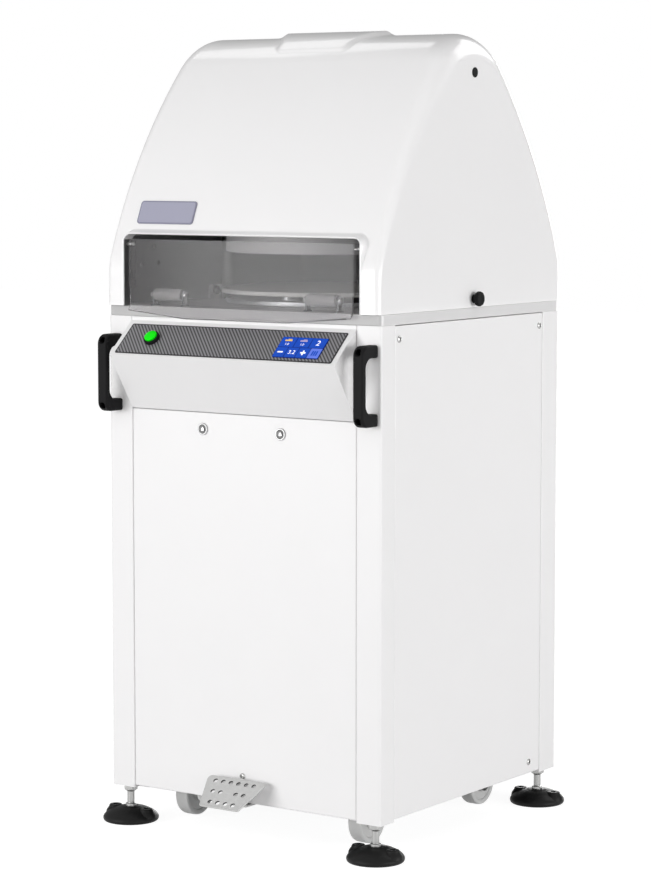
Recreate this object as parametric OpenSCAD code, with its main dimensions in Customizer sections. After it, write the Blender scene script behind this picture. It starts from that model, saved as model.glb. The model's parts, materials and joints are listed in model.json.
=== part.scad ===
// Automatic bun divider rounder: square cabinet, moulded hood, press head and orbiting moulding plate.
// Millimetres, +Z up, front towards -Y, origin on the floor under the middle of the cabinet.

/* [Cabinet] */
// Width across the corner posts
body_w = 600; // [590:5:660]
// Depth across the corner posts
body_d = 600; // [590:5:660]
// Height of the post ends above the floor
body_z = 68; // [64:1:76]
// Length of the corner posts
body_h = 875; // [860:5:920]
// Width of a post on the front and rear faces
post_w = 52; // [50:1:56]
// Width of a front post on the side face
post_side_front = 44; // [42:1:48]
// Width of a rear post on the side face
post_side_rear = 56; // [52:1:60]
// Sheet thickness of the posts
post_sheet = 2; // [1.5:0.1:2.5]
// Outer corner radius of a post
post_r = 4; // [2.5:0.5:4.5]
// Corner radius of the table plate
table_r = 8; // [5:1:10]
// Sheet thickness of the panels
skin = 1.5; // [1:0.1:2]
// Depth of the folded edge round a panel
panel_fold = 12; // [10:1:14]
// Set-back of the panels behind the post faces
panel_setback = 1; // [0.5:0.5:2]
// Gap round the panels
panel_gap = 0.6; // [0.4:0.1:0.8]
// Shadow gap between the side panels and the table
panel_top_gap = 3; // [2:1:4]
// Rise of the panels above the post ends
panel_rise = 4; // [3:1:8]
// Width of the ledge behind a panel edge
ledge_w = 22; // [20:1:26]
// Gap between a seated piece and its seat
seat_gap = 0.3; // [0.2:0.1:0.5]
// Height of the base tray
tray_h = 58; // [54:1:64]
// Sheet thickness of the base tray
tray_sheet = 4; // [3:0.5:5]
// Thickness of the table plate
table_t = 19; // [18:1:22]

/* [Screws] */
// Shank diameter of the panel screws
screw_d = 5; // [4:0.5:6]
// Head diameter of the panel screws
screw_head_d = 14; // [12:1:16]
// Head height of the panel screws
screw_head_h = 3.5; // [3:0.5:4]
// Distance of a panel screw from the panel's upright edges
screw_inset = 12; // [11:1:13]
// Distance of a side panel's lower screw from the panel's rear edge
screw_low_inset = 39; // [36:1:44]
// Distance of a panel screw from the panel's top and bottom edges
screw_rise = 22; // [20:1:28]
// Clearance of a screw in its hole, on the radius
screw_play = 0.2; // [0.1:0.1:0.3]

/* [Console] */
// Overhang of the console's nose in front of the cabinet
console_out = 66; // [60:1:72]
// Height of the console
console_h = 160; // [150:1:170]
// Drop of the console's top edge below the table
console_drop = 7; // [5:1:10]
// Drop of the console's nose below the table
nose_drop = 66; // [60:1:72]
// Sheet thickness of the console
console_sheet = 2; // [1.5:0.1:2.5]
// Margin of the fascia at its ends
fascia_end = 10; // [8:1:14]
// Margin of the fascia above the nose
fascia_low = 4.5; // [4:0.5:6]
// Margin of the fascia below the top edge
fascia_high = 10; // [8:1:12]
// Thickness of the fascia
fascia_t = 1.2; // [1:0.1:1.6]
// Width of the touch screen
screen_w = 97; // [90:1:104]
// Height of the touch screen
screen_h = 49; // [44:1:52]
// Thickness of the touch screen's glass
screen_t = 2; // [1.8:0.1:2.6]
// Middle of the screen from the fascia's right end
screen_in = 79.4; // [74:0.1:96]
// Middle of the touch screen above the nose, along the slope
screen_y = 36.5; // [34:0.5:43]
// Depth of the screen's module behind the fascia
module_t = 18; // [14:1:20]
// Width of the module's hidden rim
module_rim = 4; // [3:0.5:6]
// Middle of the start button from the fascia's left end
button_in = 65.8; // [56:0.1:74]
// Middle of the start button above the nose, along the slope
button_y = 41.5; // [36:0.1:50]
// Diameter of the button's cap
button_d = 24; // [22:0.5:26]
// Outer diameter of the button's collar
collar_d = 30; // [29:0.5:33]
// Height of the button's collar
collar_h = 6.5; // [6:0.5:7]
// Floor of the collar under the cap
collar_floor = 1; // [0.8:0.1:1.2]
// Travel of the button
button_travel = 3.5; // [3:0.5:3.5]
// Height of the cap's rim
cap_h = 4.2; // [4:0.1:5]
// Height of the cap's crown
cap_crown = 1.5; // [1:0.1:2]
// Diameter of the button's barrel
barrel_d = 22; // [21:0.5:24]
// Length of the button's barrel
barrel_l = 18; // [14:1:20]
// Diameter of the button's stem
stem_d = 16; // [12:0.5:18]
// Sliding clearance of the button, on the radius
button_play = 0.1; // [0.06:0.02:0.1]

/* [Locks] */
// Distance of each lock from the middle
lock_x = 86; // [80:1:100]
// Drop of the locks below the console
lock_drop = 31; // [28:1:34]
// Head diameter of a lock
lock_head_d = 22; // [20:1:26]
// Head height of a lock
lock_head_h = 3; // [2:0.5:4]
// Barrel diameter of a lock
lock_d = 16; // [14:1:18]
// Length of a lock's cam
cam_l = 40; // [38:1:44]
// Width of a lock's cam
cam_w = 12; // [10:1:14]
// Thickness of a lock's cam
cam_t = 3; // [2:0.5:4]
// Turning clearance of a lock, on the radius
lock_play = 0.08; // [0.05:0.01:0.1]

/* [Handles] */
// Overall length of a handle
handle_l = 141; // [135:1:150]
// Width of a handle
handle_w = 22; // [20:1:26]
// Projection of a handle
handle_out = 46; // [43:1:50]
// Thickness of the grip
grip_t = 12; // [11:1:15]
// Height of each handle leg
leg_h = 22; // [20:1:26]
// Corner radius of a handle and of its opening
handle_r = 18; // [14:1:20]
// Drop of the handles' middle below the table
handle_drop = 103; // [98:1:120]
// Distance of a handle's middle from the side faces
handle_inset = 18.5; // [16:0.5:24]
// Diameter of the handle screws
handle_screw_d = 8; // [6:1:8]
// Head diameter of the handle screws
handle_head_d = 13; // [11:0.5:14]
// Depth of the screw head's recess
handle_sink = 16; // [15:1:18]
// Head height of the handle screws
handle_head_h = 8; // [6:0.5:8]

/* [Feet] */
// Diameter of a foot pad
pad_d = 104; // [90:2:110]
// Height of a foot pad
pad_h = 26; // [22:1:28]
// Diameter of the two bolt bosses on a foot pad
boss_d = 24; // [20:1:26]
// Height of the bolt bosses
boss_h = 25; // [24:0.5:26]
// Inset of a foot from the side faces
foot_inset_x = 25; // [22:1:28]
// Inset of a foot from the front and rear faces
foot_inset_y = 22; // [20:1:26]
// Stem diameter
foot_d = 14; // [12:1:16]
// Height of the stem's top above the post end
stem_rise = 26; // [20:1:30]
// Depth of the stem in its pad
stem_sink = 12; // [10:1:14]
// Width of the lock nut across its corners
nut_d = 25; // [23:0.5:28]
// Height of the lock nut
nut_h = 10; // [8:1:12]
// Collar diameter
foot_collar_d = 22; // [18:1:24]
// Collar height
foot_collar_h = 5; // [4:1:7]
// Thickness of the plate under a post
foot_plate = 4; // [3:0.5:6]

/* [Castors] */
// Castor distance from the middle, sideways
castor_x = 195; // [185:1:200]
// Castor distance from the middle, front to back
castor_y = 187; // [180:1:195]
// Wheel diameter
wheel_d = 84; // [78:1:88]
// Tread width
wheel_w = 30; // [26:1:34]
// Gap between the wheels and the floor
wheel_lift = 4; // [3:1:8]
// Axle diameter
axle_d = 8; // [6:1:10]
// Running clearance of a wheel, on the radius
wheel_play = 0.08; // [0.05:0.01:0.1]
// Side gap of a wheel in its fork
wheel_side = 0.8; // [0.5:0.1:0.9]
// Sheet thickness of a fork
fork_sheet = 3; // [2.5:0.5:4]
// Depth of the recess in a wheel's face
wheel_dish = 4; // [3:0.5:6]

/* [Pedal] */
// Half width of the pedal at its rear edge
pedal_rear = 63; // [58:1:66]
// Half width of the pedal at its front edge
pedal_front = 43; // [40:1:48]
// Length of the tread's sides behind their taper
pedal_side = 10; // [6:1:16]
// Run of the tread towards the front
pedal_run = 60; // [54:1:64]
// Fall of the tread towards the front
pedal_fall = 43; // [40:1:46]
// Height of the tread's rear edge above the floor
pedal_top = 119; // [116:1:120]
// Sheet thickness of the pedal
pedal_t = 3; // [2.5:0.5:4]
// Gap between the pedal and the front panel
pedal_gap = 10; // [9:1:14]
// Diameter of the holes in the tread
pedal_hole = 9; // [8:0.5:10]
// Pitch of the holes in the tread
pedal_pitch = 17; // [15:0.5:18]
// Height of the pedal's pivot above the floor
pivot_z = 76; // [74:1:77]
// Distance of the pivot behind the front faces
pivot_back = 52; // [48:1:60]
// Pivot pin diameter
pivot_d = 10; // [8:1:12]
// Half width of the lever
lever_half = 14; // [12:1:18]
// Turning clearance of the pedal, on the radius
pedal_play = 0.08; // [0.05:0.01:0.1]
// Side gap between lever and bracket
lever_side = 0.8; // [0.5:0.1:0.9]

/* [Hood] */
// Set-in of the hood's side walls from the table's edges
hood_inset = 1; // [0.5:0.5:3]
// Overhang of the hood in front of and behind the table
hood_over = 8; // [6:1:12]
// Wall of the hood
hood_wall = 4; // [3:0.5:5]
// Height of the upright part of the hood's front
hood_straight = 55; // [50:1:60]
// Radius of the shoulder above the upright part
shoulder_r = 130; // [110:5:150]
// Slope at the end of the shoulder, from upright
shoulder_a = 18.5; // [17:0.5:20]
// Radius of the long slope
slope_r = 1036; // [980:10:1080]
// Slope at the start of the crown, from upright
crown_a = 40.4; // [39:0.2:41.6]
// Edge radius at the hood's base
edge_r_low = 10; // [8:1:14]
// Edge radius at the hood's crown
edge_r_high = 44; // [36:2:50]
// Half width of the crown pad at its front and rear edges
pad_half = 80; // [70:2:90]
// Half depth of the crown pad
pad_reach = 88; // [80:1:94]
// How far the pad's sides flare out towards the ridge
pad_flare = 50; // [30:2:60]
// Width of the pad's sloped sides at its edges
pad_ramp = 8; // [6:1:10]
// Rise of the crown pad at the ridge
pad_rise = 9; // [7:1:12]
// Distance of the window from the hood's side walls
window_inset = 40; // [38:1:44]
// Height of the window
window_h = 130; // [124:1:134]
// Top corner radius of the window
window_r = 12; // [8:1:16]
// Width of the rim round the window
rim_w = 6; // [5:0.5:8]
// Depth of the rim round the window
rim_d = 25; // [22:1:28]
// Projection of the rim in front of the hood's base
rim_out = 1; // [0.8:0.2:2]
// Height of the clamp knobs above the table
knob_z = 16; // [15:1:18]
// Diameter of a clamp knob
knob_d = 27; // [24:1:30]
// Length of a clamp knob's head
knob_l = 9; // [8:1:14]
// Length of a clamp knob's neck
knob_neck = 7; // [5:1:9]
// Stud diameter of a clamp knob
stud_d = 8; // [6:1:9]
// Turning clearance of a clamp knob, on the radius
stud_play = 0.1; // [0.05:0.01:0.1]
// Depth of the plug holes below the hood's crown
plug_drop = 69; // [60:1:76]
// Diameter of the plugs
plug_d = 14; // [10:1:16]
// Length of the badge
badge_w = 126; // [118:1:132]
// Height of the badge along the slope
badge_h = 48; // [44:1:52]
// Thickness of the badge
badge_t = 2; // [1.5:0.5:3]
// Corner radius of the badge
badge_r = 6; // [4:1:8]
// Middle of the badge above the table
badge_rise = 167; // [160:1:176]
// Middle of the badge from the hood's left side
badge_in = 115; // [105:1:125]

/* [Hood hinge] */
// Half distance between the hinges
hinge_x = 180; // [150:5:220]
// Width of a hinge
hinge_w = 61; // [49:3:70]
// Pin diameter
hinge_d = 6; // [5:0.5:8]
// Knuckle wall
knuckle_wall = 3; // [2.5:0.5:3.5]
// Turning clearance, on the radius
hinge_play = 0.08; // [0.05:0.01:0.1]
// Leaf thickness
leaf_t = 2.5; // [2:0.5:3]
// Side gap between knuckles
knuckle_gap = 0.5; // [0.3:0.1:0.8]
// Height of the hood leaf
leaf_h = 28; // [22:1:34]

/* [Guard] */
// Gap between the guard and the window's sides
guard_side = 9; // [8:0.5:11]
// Sheet thickness of the guard
guard_t = 4; // [3:0.5:4.5]
// Gap between the guard and the window's top
guard_top_gap = 8.5; // [8:0.5:10]
// Depth of the guard's side flanges
flange_d = 20; // [18:1:22]
// Length of the lip
lip_l = 26; // [22:1:28]
// Slope of the lip from upright
lip_a = 35; // [25:1:40]
// Rise of the lip towards its ends
lip_rise = 12; // [8:1:14]
// Pivot pin diameter
guard_pin_d = 6; // [5:0.5:7]
// Turning clearance, on the radius
guard_play = 0.08; // [0.05:0.01:0.1]
// Depth of the pivot behind the guard's face
guard_pivot_in = 12; // [11:0.5:13]
// Drop of the pivot below the guard's top
guard_pivot_drop = 9.5; // [9:0.5:11]
// Lowest point of the side flanges above the guard's bend
flange_low = 24; // [20:1:30]

/* [Orbit drive] */
// Throw of the cranks
throw = 12; // [8:1:13]
// Journal diameter of the crank shaft
journal_d = 40; // [36:1:44]
// Crank pin diameter
crankpin_d = 30; // [26:1:32]
// Crank web radius
web_r = 34; // [33:1:36]
// Running clearance of the shafts, on the radius
run_play = 0.08; // [0.05:0.01:0.1]
// Place of the idler crank on the orbit table, as a share of the table's radius
idler_share = 0.66; // [0.62:0.01:0.7]
// Idler journal diameter
idler_d = 20; // [18:1:22]
// Idler pin diameter
idler_pin_d = 16; // [14:1:18]
// Idler web radius
idler_web_r = 26; // [25:1:28]
// How far the moulding plate overhangs the orbit table
orbit_edge = 8; // [6:1:12]
// Thickness of the orbiting table
orbit_t = 8; // [7:1:9]
// Gap between table plate and orbiting table
orbit_gap = 2; // [1:0.5:3]
// Height of the pads that carry the moulding plate
rest_h = 10; // [9:1:12]
// Clear width between the moulding plate and the guide columns, for its throw
plate_clear = 20; // [18:1:24]
// Thickness of the moulding plate
plate_t = 8; // [6:1:10]
// Clear width between the two pulleys
pulley_clear = 50; // [46:1:60]
// Radius of the motor pulley
driver_r = 40; // [36:1:44]
// Face width of the pulleys
pulley_w = 26; // [22:1:30]
// Belt thickness
belt_t = 6; // [5:0.5:8]
// Middle of the motor from the back of the cabinet
motor_back = 110; // [100:2:114]
// Drop of the pulleys' middle below the table's underside
pulley_drop = 118; // [114:1:126]
// Motor diameter
motor_d = 140; // [130:2:150]
// Motor length
motor_l = 240; // [220:5:260]
// Motor shaft diameter
motor_shaft = 20; // [18:1:24]
// Overhang of the motor plate past the motor
mount_over = 26; // [20:1:30]
// Radius of the bearing housing
housing_r = 42; // [38:1:46]
// Length of the bearing housing
housing_l = 90; // [84:1:92]
// Overhang of the bearing housing's flange
housing_flange = 33; // [28:1:36]

/* [Press] */
// Distance of the guide columns from the hood's side walls
column_inset = 47; // [44:1:49]
// Diameter of the guide columns
column_d = 24; // [20:1:26]
// Rest height of the press ring above the moulding plate
press_gap = 68; // [64:1:72]
// How far the moulding plate overhangs the press ring
ring_edge = 15; // [14:1:22]
// Wall of the press ring
ring_wall = 8; // [6:1:9]
// Height of the press ring
ring_h = 92; // [88:1:98]
// Thickness of the press head's top plate
head_t = 12; // [10:1:14]
// Depth of the dough chamber in the ring
chamber_h = 32; // [30:1:34]
// Thickness of the press segments
segment_t = 14; // [12:1:16]
// Thickness of a knife
knife_t = 2; // [1.5:0.5:2.5]
// Gap between a knife and the segments
knife_gap = 1; // [0.8:0.1:1.5]
// Radius of the ring knife
knife_ring_r = 90; // [80:2:100]
// Number of outer portions
portions = 12; // [8:2:14]
// Thickness of the knife carrier
carrier_t = 6; // [5:1:7]
// Diameter of the segment stems
rod_d = 12; // [10:1:13]
// Press rod diameter
press_rod_d = 50; // [46:1:54]
// Knife rod diameter
knife_rod_d = 20; // [18:1:24]
// Diameter of the press cylinder
cylinder_d = 96; // [88:2:100]
// Clear height between the press cylinder and the hood's roof
cylinder_clear = 32; // [28:1:40]
// Height of the crosshead above the table
crosshead_z = 253; // [250:1:258]
// Thickness of the crosshead
crosshead_t = 40; // [36:1:44]
// Half depth of the crosshead
crosshead_half = 50; // [46:1:56]
// Outer diameter of the guide bushes
bush_d = 44; // [40:1:46]
// Length of the guide bushes
bush_l = 50; // [44:1:56]
// Length of the crosshead past each guide column
crosshead_over = 28; // [24:1:30]

/* [Rollers] */
// Middle of each roller from the machine's middle
roller_x = 169.5; // [160:0.5:176]
// Distance of the rollers behind the table's front edge
roller_inset = 14; // [13:0.5:18]
// Height of the rollers above the table
roller_z = 21.5; // [18:0.5:22]
// Roller length
roller_l = 62; // [56:1:70]
// Roller diameter
roller_d = 22; // [20:0.5:23]
// Roller axle diameter
roller_axle = 8; // [6:0.5:10]
// Thickness of a roller bracket
bracket_t = 4; // [3:0.5:5]
// Side gap of a roller
roller_side = 0.7; // [0.5:0.1:0.9]

/* [Inner units] */
// Width of the electrical box
box_w = 110; // [100:5:130]
// Depth of the electrical box
box_d = 300; // [260:5:320]
// Height of the electrical box
box_h = 360; // [300:10:380]
// Width of the hydraulic tank
tank_w = 210; // [190:5:220]
// Depth of the hydraulic tank
tank_d = 260; // [240:5:280]
// Height of the hydraulic tank
tank_h = 190; // [170:5:210]
// Diameter of the pump motor
pump_d = 130; // [110:5:140]
// Height of the pump motor
pump_h = 190; // [160:5:200]
// Number of rear louvres
louvres = 9; // [6:1:12]
// Pitch of the rear louvres
louvre_pitch = 18; // [16:1:20]
// Diameter of the cable gland
gland_d = 25; // [20:1:28]
// Length of the gland's bend sleeve
sleeve_l = 52.2; // [40:0.1:60]
// Height of the gland above the panel's lower edge
gland_rise = 90; // [80:1:110]

/* [Hidden] */
$fn = 64;
eps = 0.5;

top_z = body_z + body_h;
table_z = top_z + table_t;
fold_in = panel_setback + panel_fold + seat_gap;
panel_z = body_z + panel_rise;
front_w = body_w - 2 * (post_w + panel_gap);
side_w = body_d - post_side_front - post_side_rear - 2 * panel_gap;
side_y = (post_side_front - post_side_rear) / 2;
cover_h = top_z - panel_top_gap - panel_z;
front_y = -body_d / 2;
tray_x = body_w / 2 - fold_in - post_sheet - seat_gap;
tray_y = body_d / 2 - fold_in - post_sheet - seat_gap;
tray_top = panel_z + tray_h;
tray_under = tray_top - tray_sheet;
screw_zs = [panel_z + screw_rise, panel_z + cover_h - screw_rise];
kick_z = panel_z + tray_h - 2 * tray_sheet;

console_top = top_z - console_drop;
console_low = console_top - console_h;
nose_y = front_y - console_out;
nose_z = top_z - nose_drop;
slope_a = atan2(console_top - nose_z, console_out);
slope_l = norm([console_out, console_top - nose_z]);
front_h = console_low - panel_gap - panel_z;
lock_z = console_low - lock_drop;
handle_x = body_w / 2 - handle_inset;
handle_z = top_z - handle_drop;
// Outline of a foot pad's dome: shares of its radius and of its height
pad_dome = [[0.95, 0], [1, 0.15], [1, 0.28], [0.95, 0.46], [0.87, 0.58], [0.66, 0.8], [0.5, 0.9],
    [0.36, 0.95], [0.35, 1]];
foot_x = body_w / 2 - foot_inset_x;
foot_y = body_d / 2 - foot_inset_y;
axle_z = wheel_lift + wheel_d / 2;
pivot_y = front_y + pivot_back;
tread_y = front_y - pedal_gap;

hood_z = table_z + seat_gap;
hood_w = body_w - 2 * hood_inset;
hood_half = body_d / 2 + hood_over;
hood_d = 2 * hood_half;
window_half = hood_w / 2 - window_inset;
guard_half = window_half - guard_side;
crown_r = (hood_half - shoulder_r * (1 - cos(shoulder_a)) - slope_r * (cos(shoulder_a) - cos(crown_a)))
    / cos(crown_a);
shoulder_z = hood_z + hood_straight;
slope_z = shoulder_z + shoulder_r * sin(shoulder_a);
crown_z = slope_z + slope_r * (sin(crown_a) - sin(shoulder_a));
ridge_z = crown_z + crown_r * (1 - sin(crown_a));
window_z = table_z + window_h;
knob_height = table_z + knob_z;
hinge_r = hinge_d / 2 + knuckle_wall;
hinge_y = hood_half + leaf_t + hinge_r;
hinge_z = hood_z + hinge_r;
guard_y = -hood_half;
guard_top = window_z - guard_top_gap;
guard_low = table_z + 4;
guard_pivot = [guard_y + guard_pivot_in, guard_top - guard_pivot_drop];

orbit_z = table_z + orbit_gap;
rest_z = orbit_z + orbit_t;
plate_z = rest_z + rest_h;
plate_top = plate_z + plate_t;
pulley_z = top_z - pulley_drop;
ring_z = plate_top + press_gap;
head_z = ring_z + ring_h;
segment_z = ring_z + chamber_h;
carrier_z = head_z - carrier_t - 8;
cross_z = table_z + crosshead_z;
column_x = hood_w / 2 - column_inset;
plate_r = column_x - column_d / 2 - plate_clear;
orbit_r = plate_r - orbit_edge;
idler_y = idler_share * orbit_r;
ring_r = plate_r - ring_edge;
motor_y = body_d / 2 - motor_back;
driven_r = motor_y - driver_r - pulley_clear;
fascia_half = front_w / 2 - fascia_end;
screen_x = fascia_half - screen_in;
button_x = fascia_half - button_in;
column_spigot = column_d - 6;
roller_y = body_d / 2 - roller_inset;
catch_x = hood_w / 2 - hood_wall - 12;
catch_t = 4;
catch_slot = stud_d + 4;
idler_web_z = table_z - 8;
tray_notch = 40;
cam_in = panel_fold + seat_gap + 0.7;
fork_in = wheel_w / 2 + wheel_side;
castor_plate = 60;
lever_z = pivot_z - pivot_d;
tube_d = 2 * pivot_d;
tread_l = norm([pedal_run, pedal_fall]);
tread_a = atan2(pedal_fall, pedal_run);
mount_t = 8;
mount_z = pulley_z - pulley_w / 2 - 20;
mount_half = motor_d / 2 + mount_over;
knuckle_l = (hinge_w - 2 * knuckle_gap) / 3;
knuckle_web = hinge_r - 2;
badge_z = table_z + badge_rise;
badge_a = asin(sin(shoulder_a) + (badge_z - slope_z) / slope_r);
badge_y = -crown_r * cos(crown_a) - slope_r * (cos(badge_a) - cos(crown_a));
badge_sag = slope_r - sqrt(slope_r * slope_r - badge_h * badge_h / 4);
badge_x = hood_w / 2 - badge_in;
cylinder_l = floor(ridge_z - hood_wall - cylinder_clear - cross_z - crosshead_t);
press_travel = press_gap - 2;
knife_travel = chamber_h - 3;

module at_corners(x, y) {
    for (sx = [-1, 1], sy = [-1, 1]) translate([sx * x, sy * y, 0]) children();
}

module mirrored(sx, sy = -1) {
    mirror([sx > 0 ? 1 : 0, 0, 0]) mirror([0, sy > 0 ? 1 : 0, 0]) children();
}

module along_x(l) rotate([90, 0, 90]) linear_extrude(l, center = true) children();

module along_y(l) rotate([90, 0, 0]) linear_extrude(l, center = true) children();

module pin_x(d, l) rotate([0, 90, 0]) cylinder(d = d, h = l, center = true);

module pin_y(d, l) rotate([90, 0, 0]) cylinder(d = d, h = l, center = true);

module rounded(w, h, r) {
    square([w - 2 * r, h], center = true);
    square([w, h - 2 * r], center = true);
    for (sx = [-1, 1], sy = [-1, 1]) translate([sx * (w / 2 - r), sy * (h / 2 - r)]) circle(r);
}

// Section of a post with the outer corner at the origin
module post_corner_cut() difference() {
    translate([-eps, -eps]) square(post_r + eps);
    translate([post_r, post_r]) circle(post_r);
}

module post_section(side) difference() {
    union() {
        square([post_w, post_sheet]);
        square([post_sheet, side]);
        translate([post_w - post_sheet, 0]) square([post_sheet, fold_in + post_sheet]);
        translate([post_w - post_sheet, fold_in]) square([ledge_w + post_sheet, post_sheet]);
        translate([0, side - post_sheet]) square([fold_in + post_sheet, post_sheet]);
        translate([fold_in, side - post_sheet]) square([post_sheet, ledge_w + post_sheet]);
    }
    post_corner_cut();
}

module corner_post(sx, sy) color("white") difference() {
    side = sy < 0 ? post_side_front : post_side_rear;
    translate([sx * body_w / 2, sy * body_d / 2, body_z]) mirrored(sx, sy) union() {
        linear_extrude(body_h) post_section(side);
        linear_extrude(foot_plate) difference() {
            square([post_w, side]);
            post_corner_cut();
        }
    }
    at_corners(foot_x, foot_y) cylinder(d = foot_d + 2 * screw_play, h = 2 * top_z, center = true);
    cover_screw_places() screw_hole();
    handle_screw_places() pin_y(handle_screw_d + 2 * screw_play, 60);
}

module corner_post_fl() corner_post(-1, -1);

module corner_post_fr() corner_post(1, -1);

module corner_post_rl() corner_post(-1, 1);

module corner_post_rr() corner_post(1, 1);

// Places of the panel screws: each child points outwards along -Y in its own frame
module cover_screw_places() {
    for (s = [-1, 1]) {
        translate([s * (body_w / 2 - panel_setback), side_y, 0]) rotate(s * 90) {
            for (t = [-1, 1]) translate([t * (side_w / 2 - screw_inset), 0, screw_zs[1]]) children();
            translate([s * (side_w / 2 - screw_low_inset), 0, screw_zs[0]]) children();
        }
        for (z = screw_zs)
            translate([s * (front_w / 2 - screw_inset), body_d / 2 - panel_setback, z]) rotate(180) children();
    }
    translate([0, front_y + panel_setback, kick_z]) children();
}

module screw_hole() pin_y(screw_d + 2 * screw_play, 5 * fold_in);

module cover_screw() rotate([90, 0, 0]) difference() {
    union() {
        cylinder(d1 = screw_head_d, d2 = 0.7 * screw_head_d, h = screw_head_h);
        translate([0, 0, -(fold_in + post_sheet + 4)])
            cylinder(d = screw_d, h = fold_in + post_sheet + 4 + eps);
    }
    translate([0, 0, screw_head_h / 2]) cylinder(d = 0.9 * screw_d, h = screw_head_h, $fn = 6);
}

module handle_screw_places() {
    for (sx = [-1, 1], sz = [-1, 1])
        translate([sx * handle_x, front_y, handle_z + sz * (handle_l - leg_h) / 2]) children();
}

module handle_screw() translate([0, handle_sink - handle_out, 0]) rotate([90, 0, 0]) difference() {
    union() {
        cylinder(d = handle_head_d, h = handle_head_h);
        translate([0, 0, -(handle_out - handle_sink + 12)])
            cylinder(d = handle_screw_d, h = handle_out - handle_sink + 12 + eps);
    }
    translate([0, 0, handle_head_h / 2]) cylinder(d = 0.75 * handle_screw_d, h = handle_head_h, $fn = 6);
}

module cover_screws() color("gainsboro") {
    cover_screw_places() cover_screw();
    handle_screw_places() handle_screw();
}

// A panel with folded edges, its outer face on the XZ plane and its middle over the origin
module panel(w, h) translate([-w / 2, 0, 0]) difference() {
    cube([w, panel_fold, h]);
    translate([skin, skin, skin]) cube([w - 2 * skin, panel_fold, h - 2 * skin]);
}

module front_panel() color("white") difference() {
    translate([0, front_y + panel_setback, panel_z]) panel(front_w, front_h);
    cover_screw_places() screw_hole();
    for (s = [-1, 1]) translate([s * lock_x, front_y, lock_z]) pin_y(lock_d + 2 * lock_play, 2 * panel_fold);
}

module side_panel(s) color("white") difference() {
    translate([s * (body_w / 2 - panel_setback), side_y, panel_z]) rotate(s * 90) panel(side_w, cover_h);
    cover_screw_places() screw_hole();
}

module left_panel() side_panel(-1);

module right_panel() side_panel(1);

module rear_panel() color("white") difference() {
    translate([0, body_d / 2 - panel_setback, panel_z]) rotate(180) panel(front_w, cover_h);
    cover_screw_places() screw_hole();
    for (bank = [-1, 1], i = [0 : louvres - 1])
        translate([bank * front_w / 4, body_d / 2, top_z - 160 - i * louvre_pitch])
            along_y(4 * panel_fold) rounded(front_w / 3, 6, 2.9);
    gland_place() pin_y(gland_d + 2 * screw_play, 4 * panel_fold);
}

module gland_place() translate([-front_w / 3, body_d / 2 - panel_setback, panel_z + gland_rise]) children();

module cable_gland() color("dimgray") gland_place() rotate([-90, 0, 0]) difference() {
    union() {
        cylinder(d = 1.5 * gland_d, h = 8, $fn = 6);
        translate([0, 0, 8]) cylinder(d1 = 1.3 * gland_d, d2 = gland_d, h = 14);
        translate([0, 0, 22 - eps]) cylinder(d1 = 0.84 * gland_d, d2 = 0.66 * gland_d, h = sleeve_l + eps);
        translate([0, 0, -14]) cylinder(d = gland_d, h = 14 + eps);
        translate([0, 0, -skin - 6]) cylinder(d = 1.5 * gland_d, h = 6, $fn = 6);
    }
    translate([0, 0, -20]) cylinder(d = 0.5 * gland_d, h = 2 * sleeve_l);
}

// Base tray, open below, with its corners cut back for the foot stems
module tray_outline(inset) difference() {
    square([2 * (tray_x - inset), 2 * (tray_y - inset)], center = true);
    at_corners(tray_x, tray_y) square(2 * (tray_notch + inset), center = true);
}

module base_tray() color("lightgray") difference() {
    translate([0, 0, panel_z]) linear_extrude(tray_h) tray_outline(0);
    translate([0, 0, panel_z - eps]) linear_extrude(tray_h - tray_sheet + eps) tray_outline(tray_sheet);
    cover_screw_places() screw_hole();
}

module table_plate() color("silver") difference() {
    union() {
        translate([0, 0, top_z]) linear_extrude(table_t) rounded(body_w, body_d, table_r);
        for (s = [-1, 1]) translate([s * catch_x, 0, table_z - eps]) catch();
    }
    translate([0, 0, top_z - eps]) cylinder(r = web_r + throw / 2, h = 2 * table_t);
    translate([0, idler_y, top_z - eps]) cylinder(d = idler_d + 2 * run_play, h = 2 * table_t);
    translate([0, idler_y, idler_web_z - eps]) cylinder(r = idler_web_r + 4, h = table_t);
    for (s = [-1, 1]) translate([s * column_x, 0, top_z - eps])
        cylinder(d = column_spigot + 2 * screw_play, h = 2 * table_t);
}

// Slotted ear that the stud of a clamp knob drops into from above
module catch() along_x(catch_t) difference() {
    translate([-20, 0]) square([40, knob_z + 10 + eps]);
    translate([0, knob_z + eps]) circle(d = catch_slot);
    translate([-catch_slot / 2, knob_z + eps]) square([catch_slot, knob_z + 20]);
}

// Console: the slope frame has its origin at the nose, X along the nose, Y up the slope and Z outwards
module on_slope() translate([0, nose_y, nose_z]) rotate([slope_a, 0, 0]) children();

console_points = [[front_y, console_top], [nose_y, nose_z], [front_y, console_low]];
console_sides = [for (i = [0 : 2]) norm(console_points[(i + 1) % 3] - console_points[(i + 2) % 3])];
console_girth = console_sides[0] + console_sides[1] + console_sides[2];
console_heart = (console_sides[0] * console_points[0] + console_sides[1] * console_points[1]
    + console_sides[2] * console_points[2]) / console_girth;
console_inner = 1 - console_sheet * console_girth / (console_h * console_out);

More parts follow.
